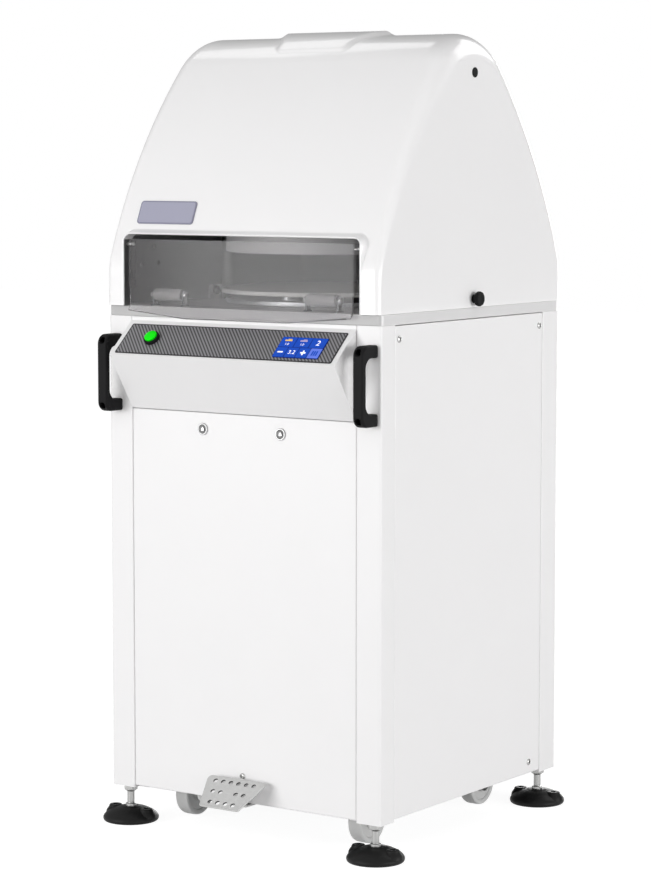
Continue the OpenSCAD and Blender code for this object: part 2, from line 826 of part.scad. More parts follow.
module console_housing() color("white") difference() {
    union() {
        along_x(front_w) polygon(console_points);
        translate([-front_w / 2, front_y - eps, console_low])
            cube([front_w, fold_in - seat_gap + eps, console_h]);
        translate([-front_w / 2, front_y + panel_setback, console_top - eps])
            cube([front_w, console_sheet, console_drop - seat_gap + eps]);
    }
    along_x(front_w - 2 * console_sheet)
        polygon([for (p = console_points) console_heart + console_inner * (p - console_heart)]);
    translate([-front_w / 2 + console_sheet, front_y, console_low + console_sheet])
        cube([front_w - 2 * console_sheet, 2 * fold_in, console_h - 2 * console_sheet]);
    translate([0, front_y, console_top - console_h / 2])
        cube([front_w / 2, 20, console_h / 2], center = true);
    on_slope() translate([-button_x, button_y, -barrel_l])
        cylinder(d = barrel_d + 2 * screw_play, h = 2 * barrel_l);
    on_slope() translate([screen_x, screen_y, 0])
        cube([screen_w - 2 * module_rim + 1, screen_h - 2 * module_rim + 1, 4 * module_t], center = true);
}

module console_fascia() color("dimgray") on_slope() difference() {
    translate([-front_w / 2 + fascia_end, fascia_low, 0])
        cube([front_w - 2 * fascia_end, slope_l - fascia_low - fascia_high, fascia_t]);
    translate([-button_x, button_y, -eps]) cylinder(d = barrel_d + 2 * screw_play, h = 2 * fascia_t + 1);
    translate([screen_x, screen_y, 0])
        cube([screen_w + 2 * screw_play, screen_h + 2 * screw_play, 4 * fascia_t], center = true);
}

module touch_screen() color("royalblue") on_slope() translate([screen_x, screen_y, 0]) {
    translate([-screen_w / 2, -screen_h / 2, 0]) cube([screen_w, screen_h, screen_t]);
    translate([module_rim - screen_w / 2, module_rim - screen_h / 2, -module_t])
        cube([screen_w - 2 * module_rim, screen_h - 2 * module_rim, module_t + eps]);
}

module on_button() on_slope() translate([-button_x, button_y, fascia_t]) children();

module button_collar() color("black") on_button() difference() {
    union() {
        cylinder(d = collar_d, h = collar_h);
        translate([0, 0, -barrel_l]) cylinder(d = barrel_d, h = barrel_l + eps);
    }
    translate([0, 0, collar_floor]) cylinder(d = button_d + 2 * button_play, h = collar_h);
    translate([0, 0, -2 * barrel_l]) cylinder(d = stem_d + 2 * button_play, h = 4 * barrel_l);
}

module start_button() color("lime") on_button() {
    cap_z = collar_floor + seat_gap + button_travel;
    translate([0, 0, cap_z]) cylinder(d = button_d, h = cap_h);
    translate([0, 0, cap_z + cap_h]) cylinder(d1 = button_d, d2 = button_d - 2 * cap_crown, h = cap_crown);
    translate([0, 0, button_travel - barrel_l])
        cylinder(d = stem_d, h = barrel_l + cap_z - button_travel + eps);
}

// Quarter-turn lock: head outside, barrel through the panel, cam behind the console's lower edge
module lock(s) color("silver") translate([s * lock_x, front_y + panel_setback, lock_z]) rotate([90, 0, 0]) {
    difference() {
        cylinder(d = lock_head_d, h = lock_head_h);
        translate([0, 0, lock_head_h / 2]) cylinder(d = lock_head_d / 2, h = lock_head_h, $fn = 3);
    }
    translate([0, 0, -cam_in]) cylinder(d = lock_d, h = cam_in + eps);
    translate([-cam_w / 2, -cam_w / 2, -cam_in - cam_t]) cube([cam_w, cam_l + cam_w / 2, cam_t + eps]);
}

module lock_left() lock(-1);

module lock_right() lock(1);

module handle(s) color("black") difference() {
    translate([s * handle_x, front_y, handle_z]) along_x(handle_w) difference() {
        union() {
            translate([-handle_out / 2, 0]) rounded(handle_out, handle_l, handle_r);
            translate([-handle_out / 2, -handle_l / 2]) square([handle_out / 2, handle_l]);
        }
        translate([grip_t, 0]) rounded(2 * handle_out, handle_l - 2 * leg_h, handle_r);
    }
    handle_screw_places() pin_y(handle_screw_d + 2 * screw_play, 4 * handle_out);
    handle_screw_places() translate([0, handle_sink - 2 * handle_out, 0])
        pin_y(handle_head_d + 2 * screw_play, 2 * handle_out);
}

module handle_left() handle(-1);

module handle_right() handle(1);

module foot_pads() color("black") at_corners(foot_x, foot_y) difference() {
    union() {
        rotate_extrude()
            polygon(concat([[0, 0]], [for (p = pad_dome) [p[0] * pad_d / 2, p[1] * pad_h]], [[0, pad_h]]));
        for (t = [-1, 1]) translate([t * 0.35 * pad_d, 0, 0]) cylinder(d = boss_d, h = boss_h);
    }
    translate([0, 0, pad_h - stem_sink]) cylinder(d = foot_d + 2 * screw_play, h = pad_h);
}

module foot_stems() color("silver") at_corners(foot_x, foot_y) {
    translate([0, 0, pad_h - stem_sink]) cylinder(d = foot_d, h = body_z + stem_rise - pad_h + stem_sink);
    translate([0, 0, pad_h]) cylinder(d = foot_collar_d, h = foot_collar_h);
    translate([0, 0, body_z - nut_h]) difference() {
        cylinder(d = nut_d, h = nut_h, $fn = 6);
        translate([0, 0, -eps]) cylinder(d = foot_d + 2 * screw_play, h = nut_h + 2 * eps);
    }
}

module castor_forks() color("silver") at_corners(castor_x, castor_y) {
    translate([-fork_in - fork_sheet, -castor_plate / 2, tray_under - fork_sheet])
        cube([2 * (fork_in + fork_sheet), castor_plate, fork_sheet]);
    for (s = [-1, 1]) translate([s * (fork_in + fork_sheet / 2), 0, 0]) along_x(fork_sheet) {
        translate([-2 * axle_d, axle_z]) square([4 * axle_d, tray_under - axle_z]);
        translate([0, axle_z]) circle(2 * axle_d);
    }
    translate([0, 0, axle_z]) pin_x(axle_d, 2 * (fork_in + fork_sheet + 2));
}

module wheel(sx, sy) color("darkgray") translate([sx * castor_x, sy * castor_y, axle_z]) rotate([0, 90, 0])
    rotate_extrude() difference() {
        translate([axle_d / 2 + wheel_play, -wheel_w / 2])
            square([wheel_d / 2 - axle_d / 2 - wheel_play, wheel_w]);
        for (s = [-1, 1]) translate([1.3 * axle_d, s * wheel_w / 2 - wheel_dish])
            square([wheel_d / 2 - 6 - 1.3 * axle_d, 2 * wheel_dish]);
    }

module wheel_fl() wheel(-1, -1);

module wheel_fr() wheel(1, -1);

module wheel_rl() wheel(-1, 1);

module wheel_rr() wheel(1, 1);

// Pedal: pivot tube, lever under the front panel, riser in front of it and sloping perforated tread
module tread_holes() {
    row_gap = (tread_l - 24) / 2;
    for (i = [0 : 5]) translate([(i - 2.5) * pedal_pitch, 12]) circle(d = pedal_hole);
    for (i = [-2, -1, 1, 2]) translate([i * pedal_pitch, 12 + row_gap]) circle(d = pedal_hole);
    for (i = [0 : 3]) translate([(i - 1.5) * pedal_pitch, 12 + 2 * row_gap]) circle(d = pedal_hole);
}

module pedal_plate() color("silver") difference() {
    union() {
        translate([0, pivot_y, pivot_z]) pin_x(tube_d, 2 * lever_half);
        translate([-lever_half, tread_y, lever_z]) cube([2 * lever_half, pivot_y - tread_y, pedal_t]);
        translate([-lever_half, tread_y - pedal_t, lever_z])
            cube([2 * lever_half, pedal_t, pedal_top - lever_z]);
        translate([-lever_half, tread_y - eps, lever_z]) cube([2 * lever_half, pedal_t, pedal_t]);
        translate([-lever_half / 2, pivot_y, lever_z]) cube([lever_half, 40, pedal_t]);
        translate([0, tread_y - pedal_t / 2, pedal_top - pedal_t]) rotate([tread_a, 0, 0])
            linear_extrude(pedal_t) mirror([0, 1]) difference() {
                polygon([[-pedal_rear, 0], [pedal_rear, 0], [pedal_rear, pedal_side], [pedal_front, tread_l],
                    [-pedal_front, tread_l], [-pedal_rear, pedal_side]]);
                tread_holes();
            }
    }
    translate([0, pivot_y, pivot_z]) pin_x(pivot_d + 2 * pedal_play, 4 * lever_half);
}

module pedal_bracket() color("gainsboro") translate([0, pivot_y, 0]) {
    ear_x = lever_half + lever_side;
    for (s = [-1, 1]) translate([s * (ear_x + 2), 0, 0]) along_x(4) {
        translate([-tube_d / 2 - 4, pivot_z]) square([tube_d + 8, tray_under - pivot_z]);
        translate([0, pivot_z]) circle(tube_d / 2 + 4);
    }
    translate([-ear_x - 4, -tube_d / 2 - 4, tray_under - 4]) cube([2 * ear_x + 8, tube_d + 8, 4]);
    translate([0, 0, pivot_z]) pin_x(pivot_d, 2 * (ear_x + 6));
}

module pedal_switch() color("dimgray") translate([0, pivot_y + 32, 0]) {
    plunger_z = lever_z + pedal_t + 6;
    translate([-14, -10, tray_under - 34]) cube([28, 20, 34]);
    translate([0, 0, plunger_z]) cylinder(d = 8, h = tray_under - 34 - plunger_z + eps);
}

module electrical_box() color("slategray") difference() {
    translate([10 - tray_x, -box_d / 2, tray_top]) cube([box_w, box_d, box_h]);
    translate([12 - tray_x, 2 - box_d / 2, tray_top + 2]) cube([box_w - 4, box_d - 4, box_h - 4]);
}

module hydraulic_unit() color("steelblue") translate([tray_x - 10 - tank_w, -tank_d / 2, tray_top]) {
    difference() {
        cube([tank_w, tank_d, tank_h]);
        translate([4, 4, 4]) cube([tank_w - 8, tank_d - 8, tank_h - 8]);
    }
    translate([tank_w / 2, tank_d / 3, tank_h - eps]) cylinder(d = pump_d, h = pump_h + eps);
    translate([tank_w / 2, 0.85 * tank_d, tank_h - eps]) cylinder(d = 40, h = 20 + eps);
}

// Orbit drive under the table
module motor_mount() color("slategray") translate([0, motor_y, 0]) difference() {
    union() {
        translate([-mount_half, -mount_half, mount_z]) cube([2 * mount_half, 2 * mount_half, mount_t]);
        at_corners(mount_half - 12, mount_half - 12)
            translate([0, 0, mount_z]) cylinder(d = 14, h = top_z - mount_z);
    }
    translate([0, 0, mount_z - eps]) cylinder(d = 2 * motor_shaft, h = 2 * mount_t);
}

module drive_motor() color("steelblue") translate([0, motor_y, mount_z - motor_l]) difference() {
    cylinder(d = motor_d, h = motor_l);
    translate([0, 0, motor_l / 2]) cylinder(d = motor_shaft + 2 * run_play, h = motor_l);
}

module pulley(r, bore) difference() {
    union() {
        cylinder(r = r - belt_t, h = pulley_w, center = true);
        for (s = [-1, 1]) translate([0, 0, s * (pulley_w / 2 - 2)]) cylinder(r = r, h = 4, center = true);
    }
    cylinder(d = bore, h = 2 * pulley_w, center = true);
}

module motor_pulley() color("silver") translate([0, motor_y, 0]) {
    shaft_low = mount_z - motor_l / 2 + 2;
    translate([0, 0, pulley_z]) pulley(driver_r, motor_shaft - 2);
    translate([0, 0, shaft_low]) cylinder(d = motor_shaft, h = pulley_z + pulley_w / 2 + 4 - shaft_low);
}

module driven_pulley() color("silver") translate([0, 0, pulley_z]) pulley(driven_r, journal_d + 2 * run_play);

// Loop of a belt round two circles, as the area inside its outer or inner side
module belt_area(grow) {
    r1 = driven_r - belt_t + grow;
    r2 = driver_r - belt_t + grow;
    lean = asin((r1 - r2) / motor_y);
    circle(r1);
    translate([0, motor_y]) circle(r2);
    polygon([for (p = [[1, r1, 0], [1, r2, motor_y], [-1, r2, motor_y], [-1, r1, 0]])
        [p[0] * p[1] * cos(lean), p[2] + p[1] * sin(lean)]]);
}

module drive_belt() color("black")
    translate([0, 0, pulley_z - pulley_w / 2 + 4.5]) linear_extrude(pulley_w - 9)
    difference() {
        belt_area(belt_t + seat_gap);
        belt_area(seat_gap);
    }

module bearing_housing() color("slategray") difference() {
    union() {
        translate([0, 0, top_z - housing_l]) cylinder(r = housing_r, h = housing_l);
        translate([0, 0, top_z - 12]) cylinder(r = housing_r + housing_flange, h = 12);
    }
    translate([0, 0, top_z - 2 * housing_l]) cylinder(d = journal_d + 2 * run_play, h = 4 * housing_l);
}

module crank_shaft() color("gainsboro") {
    shaft_low = pulley_z - pulley_w / 2 - 6;
    translate([0, 0, shaft_low]) cylinder(d = journal_d, h = top_z + 1 - shaft_low);
    translate([0, 0, top_z + seat_gap]) cylinder(r = web_r, h = table_t - seat_gap);
    translate([0, throw, table_z - eps]) cylinder(d = crankpin_d, h = orbit_gap + orbit_t + eps);
}

module idler_crank() color("gainsboro") translate([0, idler_y, 0]) {
    translate([0, 0, top_z - 6]) cylinder(d = idler_d, h = idler_web_z + 1 - top_z + 6);
    translate([0, 0, idler_web_z + seat_gap]) cylinder(r = idler_web_r, h = table_z - idler_web_z - seat_gap);
    translate([0, throw, table_z - eps]) cylinder(d = idler_pin_d, h = orbit_gap + orbit_t + eps);
}

module orbit_table() color("lightgray") translate([0, throw, 0]) difference() {
    union() {
        translate([0, 0, orbit_z]) cylinder(r = orbit_r, h = orbit_t);
        for (i = [0 : 2]) rotate(30 + 120 * i) translate([0.75 * orbit_r, 0, rest_z - eps])
            cylinder(d = 36, h = rest_h + eps);
    }
    cylinder(d = crankpin_d + 2 * run_play, h = 2 * table_z);
    translate([0, idler_y, 0]) cylinder(d = idler_pin_d + 2 * run_play, h = 2 * table_z);
}

module moulding_plate() color("white") translate([0, throw, plate_z]) cylinder(r = plate_r, h = plate_t);

// Press
module guide_columns() color("silver") for (s = [-1, 1]) translate([s * column_x, 0, 0]) {
    translate([0, 0, table_z]) cylinder(d = column_d, h = crosshead_z);
    translate([0, 0, top_z]) cylinder(d = column_spigot, h = table_t + crosshead_z + crosshead_t);
}

module crosshead() color("slategray") difference() {
    translate([-column_x - crosshead_over, -crosshead_half, cross_z])
        cube([2 * (column_x + crosshead_over), 2 * crosshead_half, crosshead_t]);
    for (s = [-1, 1]) translate([s * column_x, 0, cross_z - eps])
        cylinder(d = column_spigot + 2 * screw_play, h = 2 * crosshead_t);
    translate([0, 0, cross_z - eps]) cylinder(d = press_rod_d + 2 * run_play, h = 2 * crosshead_t);
}

module press_cylinder() color("slategray") translate([0, 0, cross_z + crosshead_t]) difference() {
    cylinder(d = cylinder_d, h = cylinder_l);
    translate([0, 0, -eps]) cylinder(d = press_rod_d + 2 * run_play, h = cylinder_l - 10 + eps);
}

// Plan of the knives: one ring and the dividing blades
module knife_plan(t) {
    difference() {
        circle(knife_ring_r + t / 2);
        circle(knife_ring_r - t / 2);
    }
    for (i = [0 : portions - 1]) rotate(360 * i / portions) {
        start = i % 2 == 0 ? 0 : knife_ring_r;
        translate([start, -t / 2]) square([ring_r - ring_wall - 2 - start, t]);
    }
}

module stem_places() {
    outer = (knife_ring_r + ring_r - ring_wall) / 2;
    for (i = [0 : portions - 1]) rotate(360 * (i + 0.5) / portions) translate([outer, 0]) children();
    for (i = [0 : portions / 2 - 1]) rotate(720 * (i + 0.5) / portions)
        translate([0.62 * knife_ring_r, 0]) children();
}

module press_head() color("lightgray") difference() {
    union() {
        translate([0, 0, ring_z]) linear_extrude(ring_h + eps) difference() {
            circle(ring_r);
            circle(ring_r - ring_wall);
        }
        translate([0, 0, head_z]) cylinder(r = ring_r, h = head_t);
        translate([0, 0, head_z])
            cylinder(d = press_rod_d, h = cross_z + crosshead_t + cylinder_l - 14 - head_z);
        translate([0, 0, segment_z]) linear_extrude(segment_t) difference() {
            circle(ring_r - ring_wall - 1);
            knife_plan(knife_t + 2 * knife_gap);
        }
        translate([0, 0, segment_z]) linear_extrude(head_z - segment_z + eps) stem_places() circle(d = rod_d);
        for (s = [-1, 1]) translate([s * column_x, 0, head_z + head_t - bush_l]) {
            cylinder(d = bush_d, h = bush_l);
            translate([-s * (column_x - ring_r + ring_wall / 2), -bush_d / 4, 0])
                mirrored(-s) cube([column_x - ring_r + ring_wall / 2, bush_d / 2, bush_l]);
        }
    }
    for (s = [-1, 1]) translate([s * column_x, 0, 0]) cylinder(d = column_d + 2 * run_play, h = 2 * ridge_z);
    translate([0, 0, head_z - eps]) cylinder(d = knife_rod_d + 2 * run_play, h = ridge_z);
}

module knife_block() color("gainsboro") {
    translate([0, 0, segment_z]) linear_extrude(carrier_z - segment_z + eps) knife_plan(knife_t);
    translate([0, 0, carrier_z]) linear_extrude(carrier_t) difference() {
        circle(ring_r - ring_wall - 2);
        stem_places() circle(d = rod_d + 2);
    }
    translate([0, 0, carrier_z])
        cylinder(d = knife_rod_d, h = cross_z + crosshead_t + cylinder_l - 24 - carrier_z);
}

// Loading rollers behind the window
module roller_brackets() color("silver") for (s = [-1, 1]) translate([s * roller_x, -roller_y, table_z]) {
    cheek_x = roller_l / 2 + roller_side;
    for (t = [-1, 1]) translate([t * (cheek_x + bracket_t / 2), 0, 0]) along_x(bracket_t) {
        translate([-roller_d / 2, 0]) square([roller_d, 3]);
        translate([-roller_d / 4, 0]) square([roller_d / 2, roller_z]);
        translate([0, roller_z]) circle(roller_d / 3);
    }
    translate([0, 0, roller_z]) pin_x(roller_axle, 2 * (cheek_x + bracket_t));
    for (t = [-1, 1]) translate([t * (cheek_x + bracket_t + 2 - eps / 2), 0, roller_z])
        pin_x(1.5 * roller_axle, 4 + eps);
}

module roller(s) color("gainsboro") translate([s * roller_x, -roller_y, table_z + roller_z]) difference() {
    pin_x(roller_d, roller_l);
    pin_x(roller_axle + 2 * run_play, 2 * roller_l);
}

module roller_left() roller(-1);

module roller_right() roller(1);

// Hood. A station of its profile is [y, z, slope from upright], from the front edge to the ridge
function arc_steps(a, b, n) = [for (i = [1 : n]) a + (b - a) * i / n];

front_stations = concat(
    [[-hood_half, hood_z, 0], [-hood_half, shoulder_z, 0]],
    [for (a = arc_steps(0, shoulder_a, 4))
        [-hood_half + shoulder_r * (1 - cos(a)), shoulder_z + shoulder_r * sin(a), a]],
    [for (a = arc_steps(shoulder_a, crown_a, 9))
        [-crown_r * cos(crown_a) - slope_r * (cos(a) - cos(crown_a)),
            slope_z + slope_r * (sin(a) - sin(shoulder_a)), a]],
    [for (a = [46, 49, 52, 60, 68, 76, 83, 90]) [-crown_r * cos(a), ridge_z - crown_r * (1 - sin(a)), a]]);
last = len(front_stations) - 1;
stations = concat(front_stations,
    [for (i = [1 : last]) let (st = front_stations[last - i]) [-st[0], st[1], 180 - st[2]]]);
rows = len(stations);

function edge_r(z) = edge_r_low + (edge_r_high - edge_r_low) * pow((z - hood_z) / (ridge_z - hood_z), 1.6);

// Share of the way from the pad's edge to the ridge; below 0 off the pad
function pad_share(y) = 1 - abs(y) / pad_reach;

function pad_lift(y) = pad_share(y) < 0 ? 0 : pad_rise * (0.4 + 0.6 * pad_share(y));

function pad_base(y) = pad_half + pad_flare * pow(max(0, pad_share(y)), 1.5);

function pad_top(y) = pad_base(y) - pad_ramp * (1 + 1.75 * max(0, pad_share(y)));

// Points across one station: [x, depth below the profile]; wall is 0 outside and the wall thickness inside
function across(st, wall) = let (r = edge_r(st[1]) - wall, half = hood_w / 2 - wall,
    up = wall - pad_lift(st[0]), base = pad_base(st[0]), top = pad_top(st[0])) concat(
    [for (k = [0 : 5]) [-half + r * (1 - cos(18 * k)), wall + r * (1 - sin(18 * k))]],
    [[-base, wall], [-top, up], [top, up], [base, wall]],
    [for (k = [5 : -1 : 0]) [half - r * (1 - cos(18 * k)), wall + r * (1 - sin(18 * k))]]);

columns = len(across(stations[0], 0));

function skin_points(wall) = [for (st = stations, p = across(st, wall))
    [p[0], st[0] + p[1] * cos(st[2]), st[1] - p[1] * sin(st[2])]];

function at(side, i, j) = side * rows * columns + i * columns + j;

// Two triangles of a quad, turned round for the inner side
function quad(a, b, c, d, flip) = flip ? [[a, c, b], [a, d, c]] : [[a, b, c], [a, c, d]];

skin_faces = [for (side = [0, 1], i = [0 : rows - 2], j = [0 : columns - 2])
    each quad(at(side, i, j), at(side, i + 1, j), at(side, i + 1, j + 1), at(side, i, j + 1), side == 1)];
end_faces = [for (side = [0, 1], i = [1 : rows - 2], j = [0, columns - 1])
    let (a = at(side, 0, j), b = at(side, i, j), c = at(side, i + 1, j))
        (side == 0) == (j == 0) ? [a, c, b] : [a, b, c]];
rim_faces = concat(
    [for (i = [0, rows - 1], j = [0 : columns - 2])
        each quad(at(0, i, j), at(0, i, j + 1), at(1, i, j + 1), at(1, i, j), i > 0)],
    [for (j = [0, columns - 1])
        each quad(at(0, 0, j), at(1, 0, j), at(1, rows - 1, j), at(0, rows - 1, j), j > 0)]);

module window_outline(grow) {
    half = window_half + grow;
    r = window_r + grow;
    translate([-half, hood_z - 2 * grow]) square([2 * half, window_z + grow - r - hood_z + 2 * grow]);
    translate([-half + r, hood_z]) square([2 * (half - r), window_z + grow - hood_z]);
    for (s = [-1, 1]) translate([s * (half - r), window_z + grow - r]) circle(r);
}

module hood_shell() color("white") difference() {
    union() {
        polyhedron(concat(skin_points(0), skin_points(hood_wall)), concat(skin_faces, end_faces, rim_faces));
        intersection() {
            translate([0, -hood_half - rim_out + rim_d / 2, 0]) along_y(rim_d) window_outline(rim_w);
            translate([-hood_w, -hood_d, hood_z]) cube([2 * hood_w, 2 * hood_d, 2 * window_h]);
        }
    }
    translate([0, -hood_half, 0]) along_y(6 * rim_d) {
        window_outline(0);
        translate([-window_half, hood_z - 20]) square([2 * window_half, 21]);
    }
    translate([0, 0, knob_height]) pin_x(stud_d + 2 * stud_play, 2 * hood_w);
    translate([0, 0, ridge_z - plug_drop]) pin_x(plug_d, 2 * hood_w);
    translate([0, guard_pivot[0], guard_pivot[1]])
        pin_x(guard_pin_d + 2 * guard_play, 2 * (window_half + rim_w));
}

// Plugs in the side walls and the plain badge on the front slope
module hood_plugs() color("black") for (s = [-1, 1]) translate([s * hood_w / 2, 0, ridge_z - plug_drop]) {
    translate([s * 0.75, 0, 0]) pin_x(plug_d + 4, 1.5);
    translate([-s * hood_wall / 2, 0, 0]) pin_x(plug_d - 2 * screw_play, hood_wall + 1);
}

module name_plate() color("lightsteelblue")
    translate([-badge_x, badge_y, badge_z]) rotate([90 - badge_a, 0, 0])
    translate([0, 0, badge_sag]) linear_extrude(badge_t) rounded(badge_w, badge_h, badge_r);

module hood_knob(s) color("black") translate([0, 0, knob_height]) {
    wall_x = hood_w / 2 + seat_gap;
    translate([s * (wall_x + knob_neck / 2), 0, 0]) pin_x(0.5 * knob_d, knob_neck);
    translate([s * (wall_x + knob_neck + knob_l / 2 - eps), 0, 0]) pin_x(knob_d, knob_l);
    translate([s * (wall_x + catch_x - 8) / 2, 0, 0]) pin_x(stud_d, wall_x - catch_x + 8 + eps);
    translate([s * (catch_x - catch_t / 2 - seat_gap - 3), 0, 0]) pin_x(2 * stud_d, 6);
}

module hood_knob_left() hood_knob(-1);

module hood_knob_right() hood_knob(1);

// Hinges behind the hood: the table leaf has the outer knuckles and the pin, the hood leaf the middle one
module table_hinges() color("silver") for (s = [-1, 1]) translate([s * hinge_x, 0, 0]) {
    arm_z = hood_z - leaf_t - 6;
    translate([-hinge_w / 2, body_d / 2, top_z + 1]) cube([hinge_w, leaf_t, arm_z + leaf_t - top_z - 1]);
    translate([-hinge_w / 2, body_d / 2, arm_z]) cube([hinge_w, hinge_y + knuckle_web - body_d / 2, leaf_t]);
    for (t = [-1, 1]) translate([t * (hinge_w - knuckle_l) / 2, hinge_y, 0]) {
        translate([0, 0, hinge_z]) pin_x(2 * hinge_r, knuckle_l);
        translate([-knuckle_l / 2, -knuckle_web, arm_z])
            cube([knuckle_l, 2 * knuckle_web, hinge_z - 2 - arm_z]);
    }
    translate([0, hinge_y, hinge_z]) pin_x(hinge_d, hinge_w + 6);
}

module hood_hinges() color("silver") for (s = [-1, 1]) translate([s * hinge_x, 0, 0]) difference() {
    union() {
        translate([-hinge_w / 2, hood_half, hinge_z + hinge_r + 2]) cube([hinge_w, leaf_t, leaf_h]);
        translate([-knuckle_l / 2, hood_half, hinge_z - knuckle_web])
            cube([knuckle_l, leaf_t, knuckle_web + hinge_r + 4]);
        translate([-knuckle_l / 2, hood_half, hinge_z - knuckle_web])
            cube([knuckle_l, hinge_y - 2 - hood_half, 2 * knuckle_web]);
        translate([0, hinge_y, hinge_z]) pin_x(2 * hinge_r, knuckle_l);
    }
    translate([0, hinge_y, hinge_z]) pin_x(hinge_d + 2 * hinge_play, 2 * hinge_w);
}

// Guard: front pane with a bowed lip and two side flanges that turn on the pivot pins
module guard_section() {
    lip = [-sin(lip_a), -cos(lip_a)];
    across_lip = [cos(lip_a), -sin(lip_a)];
    low = [guard_y, guard_low];
    translate([guard_y, guard_low]) square([guard_t, guard_top - guard_low]);
    polygon([low, low + lip * lip_l, low + lip * lip_l + across_lip * guard_t, low + across_lip * guard_t,
        [guard_y + guard_t, guard_low]]);
}

module guard_outline() {
    lip_z = guard_low - lip_l * cos(lip_a) - guard_t;
    polygon([[-guard_half, guard_top], [-guard_half, lip_z + lip_rise], [-0.45 * guard_half, lip_z],
        [0.45 * guard_half, lip_z], [guard_half, lip_z + lip_rise], [guard_half, guard_top]]);
}

module guard_window() color("gray", 0.6) difference() {
    union() {
        intersection() {
            along_x(2 * guard_half) guard_section();
            along_y(4 * hood_d) guard_outline();
        }
        for (s = [-1, 1]) translate([s * (guard_half - guard_t / 2), 0, 0]) along_x(guard_t)
            translate([guard_y, guard_low + flange_low])
                square([flange_d, guard_top - guard_low - flange_low]);
    }
    translate([0, guard_pivot[0], guard_pivot[1]]) pin_x(guard_pin_d + 2 * guard_play, 4 * guard_half);
}

module guard_pins() color("silver") for (s = [-1, 1]) {
    translate([s * (window_half + rim_w / 2 - 8), guard_pivot[0], guard_pivot[1]])
        pin_x(guard_pin_d, rim_w + 2 * (window_half - guard_half) - 2);
}

base_tray();
corner_post_fl();
corner_post_fr();
corner_post_rl();
corner_post_rr();
table_plate();
front_panel();
left_panel();
right_panel();
rear_panel();
cover_screws();
console_housing();
console_fascia();
touch_screen();
button_collar();
start_button();
handle_left();
handle_right();
foot_pads();
foot_stems();
castor_forks();
wheel_fl();
wheel_fr();
wheel_rl();
wheel_rr();
pedal_bracket();
pedal_plate();
pedal_switch();
cable_gland();
electrical_box();
hydraulic_unit();
motor_mount();
drive_motor();
motor_pulley();
drive_belt();
bearing_housing();
crank_shaft();
driven_pulley();
orbit_table();
moulding_plate();
idler_crank();
guide_columns();
crosshead();
press_cylinder();
press_head();
knife_block();
roller_brackets();
roller_left();
roller_right();
lock_left();
lock_right();
table_hinges();
hood_shell();
hood_hinges();
guard_window();
guard_pins();
hood_knob_left();
hood_knob_right();
hood_plugs();
name_plate();
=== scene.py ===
import json
import math
from contextlib import contextmanager

import bmesh
import bpy
import numpy as np
from mathutils import Matrix, Vector
from mathutils.geometry import delaunay_2d_cdt


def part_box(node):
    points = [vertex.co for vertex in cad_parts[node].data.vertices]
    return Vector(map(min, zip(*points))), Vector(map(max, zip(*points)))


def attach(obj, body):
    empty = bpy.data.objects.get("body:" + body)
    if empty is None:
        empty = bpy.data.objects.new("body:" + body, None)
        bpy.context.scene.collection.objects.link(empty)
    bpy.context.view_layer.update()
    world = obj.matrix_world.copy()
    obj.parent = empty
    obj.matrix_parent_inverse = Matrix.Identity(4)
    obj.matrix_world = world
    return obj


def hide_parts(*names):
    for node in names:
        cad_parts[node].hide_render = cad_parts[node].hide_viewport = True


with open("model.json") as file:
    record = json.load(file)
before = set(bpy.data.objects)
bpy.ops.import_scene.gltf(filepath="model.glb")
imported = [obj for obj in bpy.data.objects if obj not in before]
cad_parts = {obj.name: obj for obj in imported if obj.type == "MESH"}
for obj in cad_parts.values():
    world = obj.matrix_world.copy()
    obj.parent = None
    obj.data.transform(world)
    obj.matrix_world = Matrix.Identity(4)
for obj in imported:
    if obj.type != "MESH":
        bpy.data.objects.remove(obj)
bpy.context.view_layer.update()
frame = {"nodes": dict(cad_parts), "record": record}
scene = bpy.context.scene
scene.view_settings.view_transform = "Standard"
metre = 0.001  # sizes below are in millimetres
cornerSigns = {"fl": (-1, -1), "fr": (1, -1), "rl": (-1, 1), "rr": (1, 1)}  # x and y of each corner
cabinetSizes = {"half": 300.0, "face": 299.0}  # square in plan, with its panels just inside
print("frame loaded with", len(frame["nodes"]), "nodes")


def linked(name, data):
    thing = bpy.data.objects.new(name, data)
    scene.collection.objects.link(thing)
    return thing


def aimed(name, data, at, aim):  # a camera or lamp that looks at a point
    thing = linked(name, data)
    thing.location = at
    thing.rotation_euler = (Vector(aim) - Vector(at)).to_track_quat("-Z", "Y").to_euler()
    return thing


def rectangle(x0, y0, x1, y1):
    return [(x0, y0), (x1, y0), (x1, y1), (x0, y1)]


# camera at the photograph's angle
cameraView = {"at": (3.0095, -4.3606, 1.2433), "aim": (-0.02586, 0.0, 0.69597), "lens": 115.52,
              "sensor": 36.0}
cameraData = bpy.data.cameras.new("camera")
cameraData.lens = cameraView["lens"]
cameraData.sensor_width = cameraView["sensor"]
scene.camera = aimed("camera", cameraData, cameraView["at"], cameraView["aim"])

# helpers for node trees
mixLow, mixHigh, mixOut = 6, 7, 2  # colour sockets of a Mix node


def newNode(tree, kind, **values):
    node = tree.nodes.new(kind)
    for key, value in values.items():
        if key in node.inputs:
            node.inputs[key].default_value = value
        else:
            setattr(node, key, value)
    return node


def spread(tree, source, to, span=(0.0, 1.0)):  # a span of values stretched on to another
    node = newNode(tree, "ShaderNodeMapRange")
    for name, value in zip(("From Min", "From Max", "To Min", "To Max"), span + to):
        node.inputs[name].default_value = value
    tree.links.new(source, node.inputs["Value"])
    return node.outputs["Result"]


def blend(tree, factor, low, high):  # two tints mixed by a factor
    node = newNode(tree, "ShaderNodeMix", data_type="RGBA")
    node.inputs[mixLow].default_value = low
    node.inputs[mixHigh].default_value = high
    tree.links.new(factor, node.inputs["Factor"])
    return node


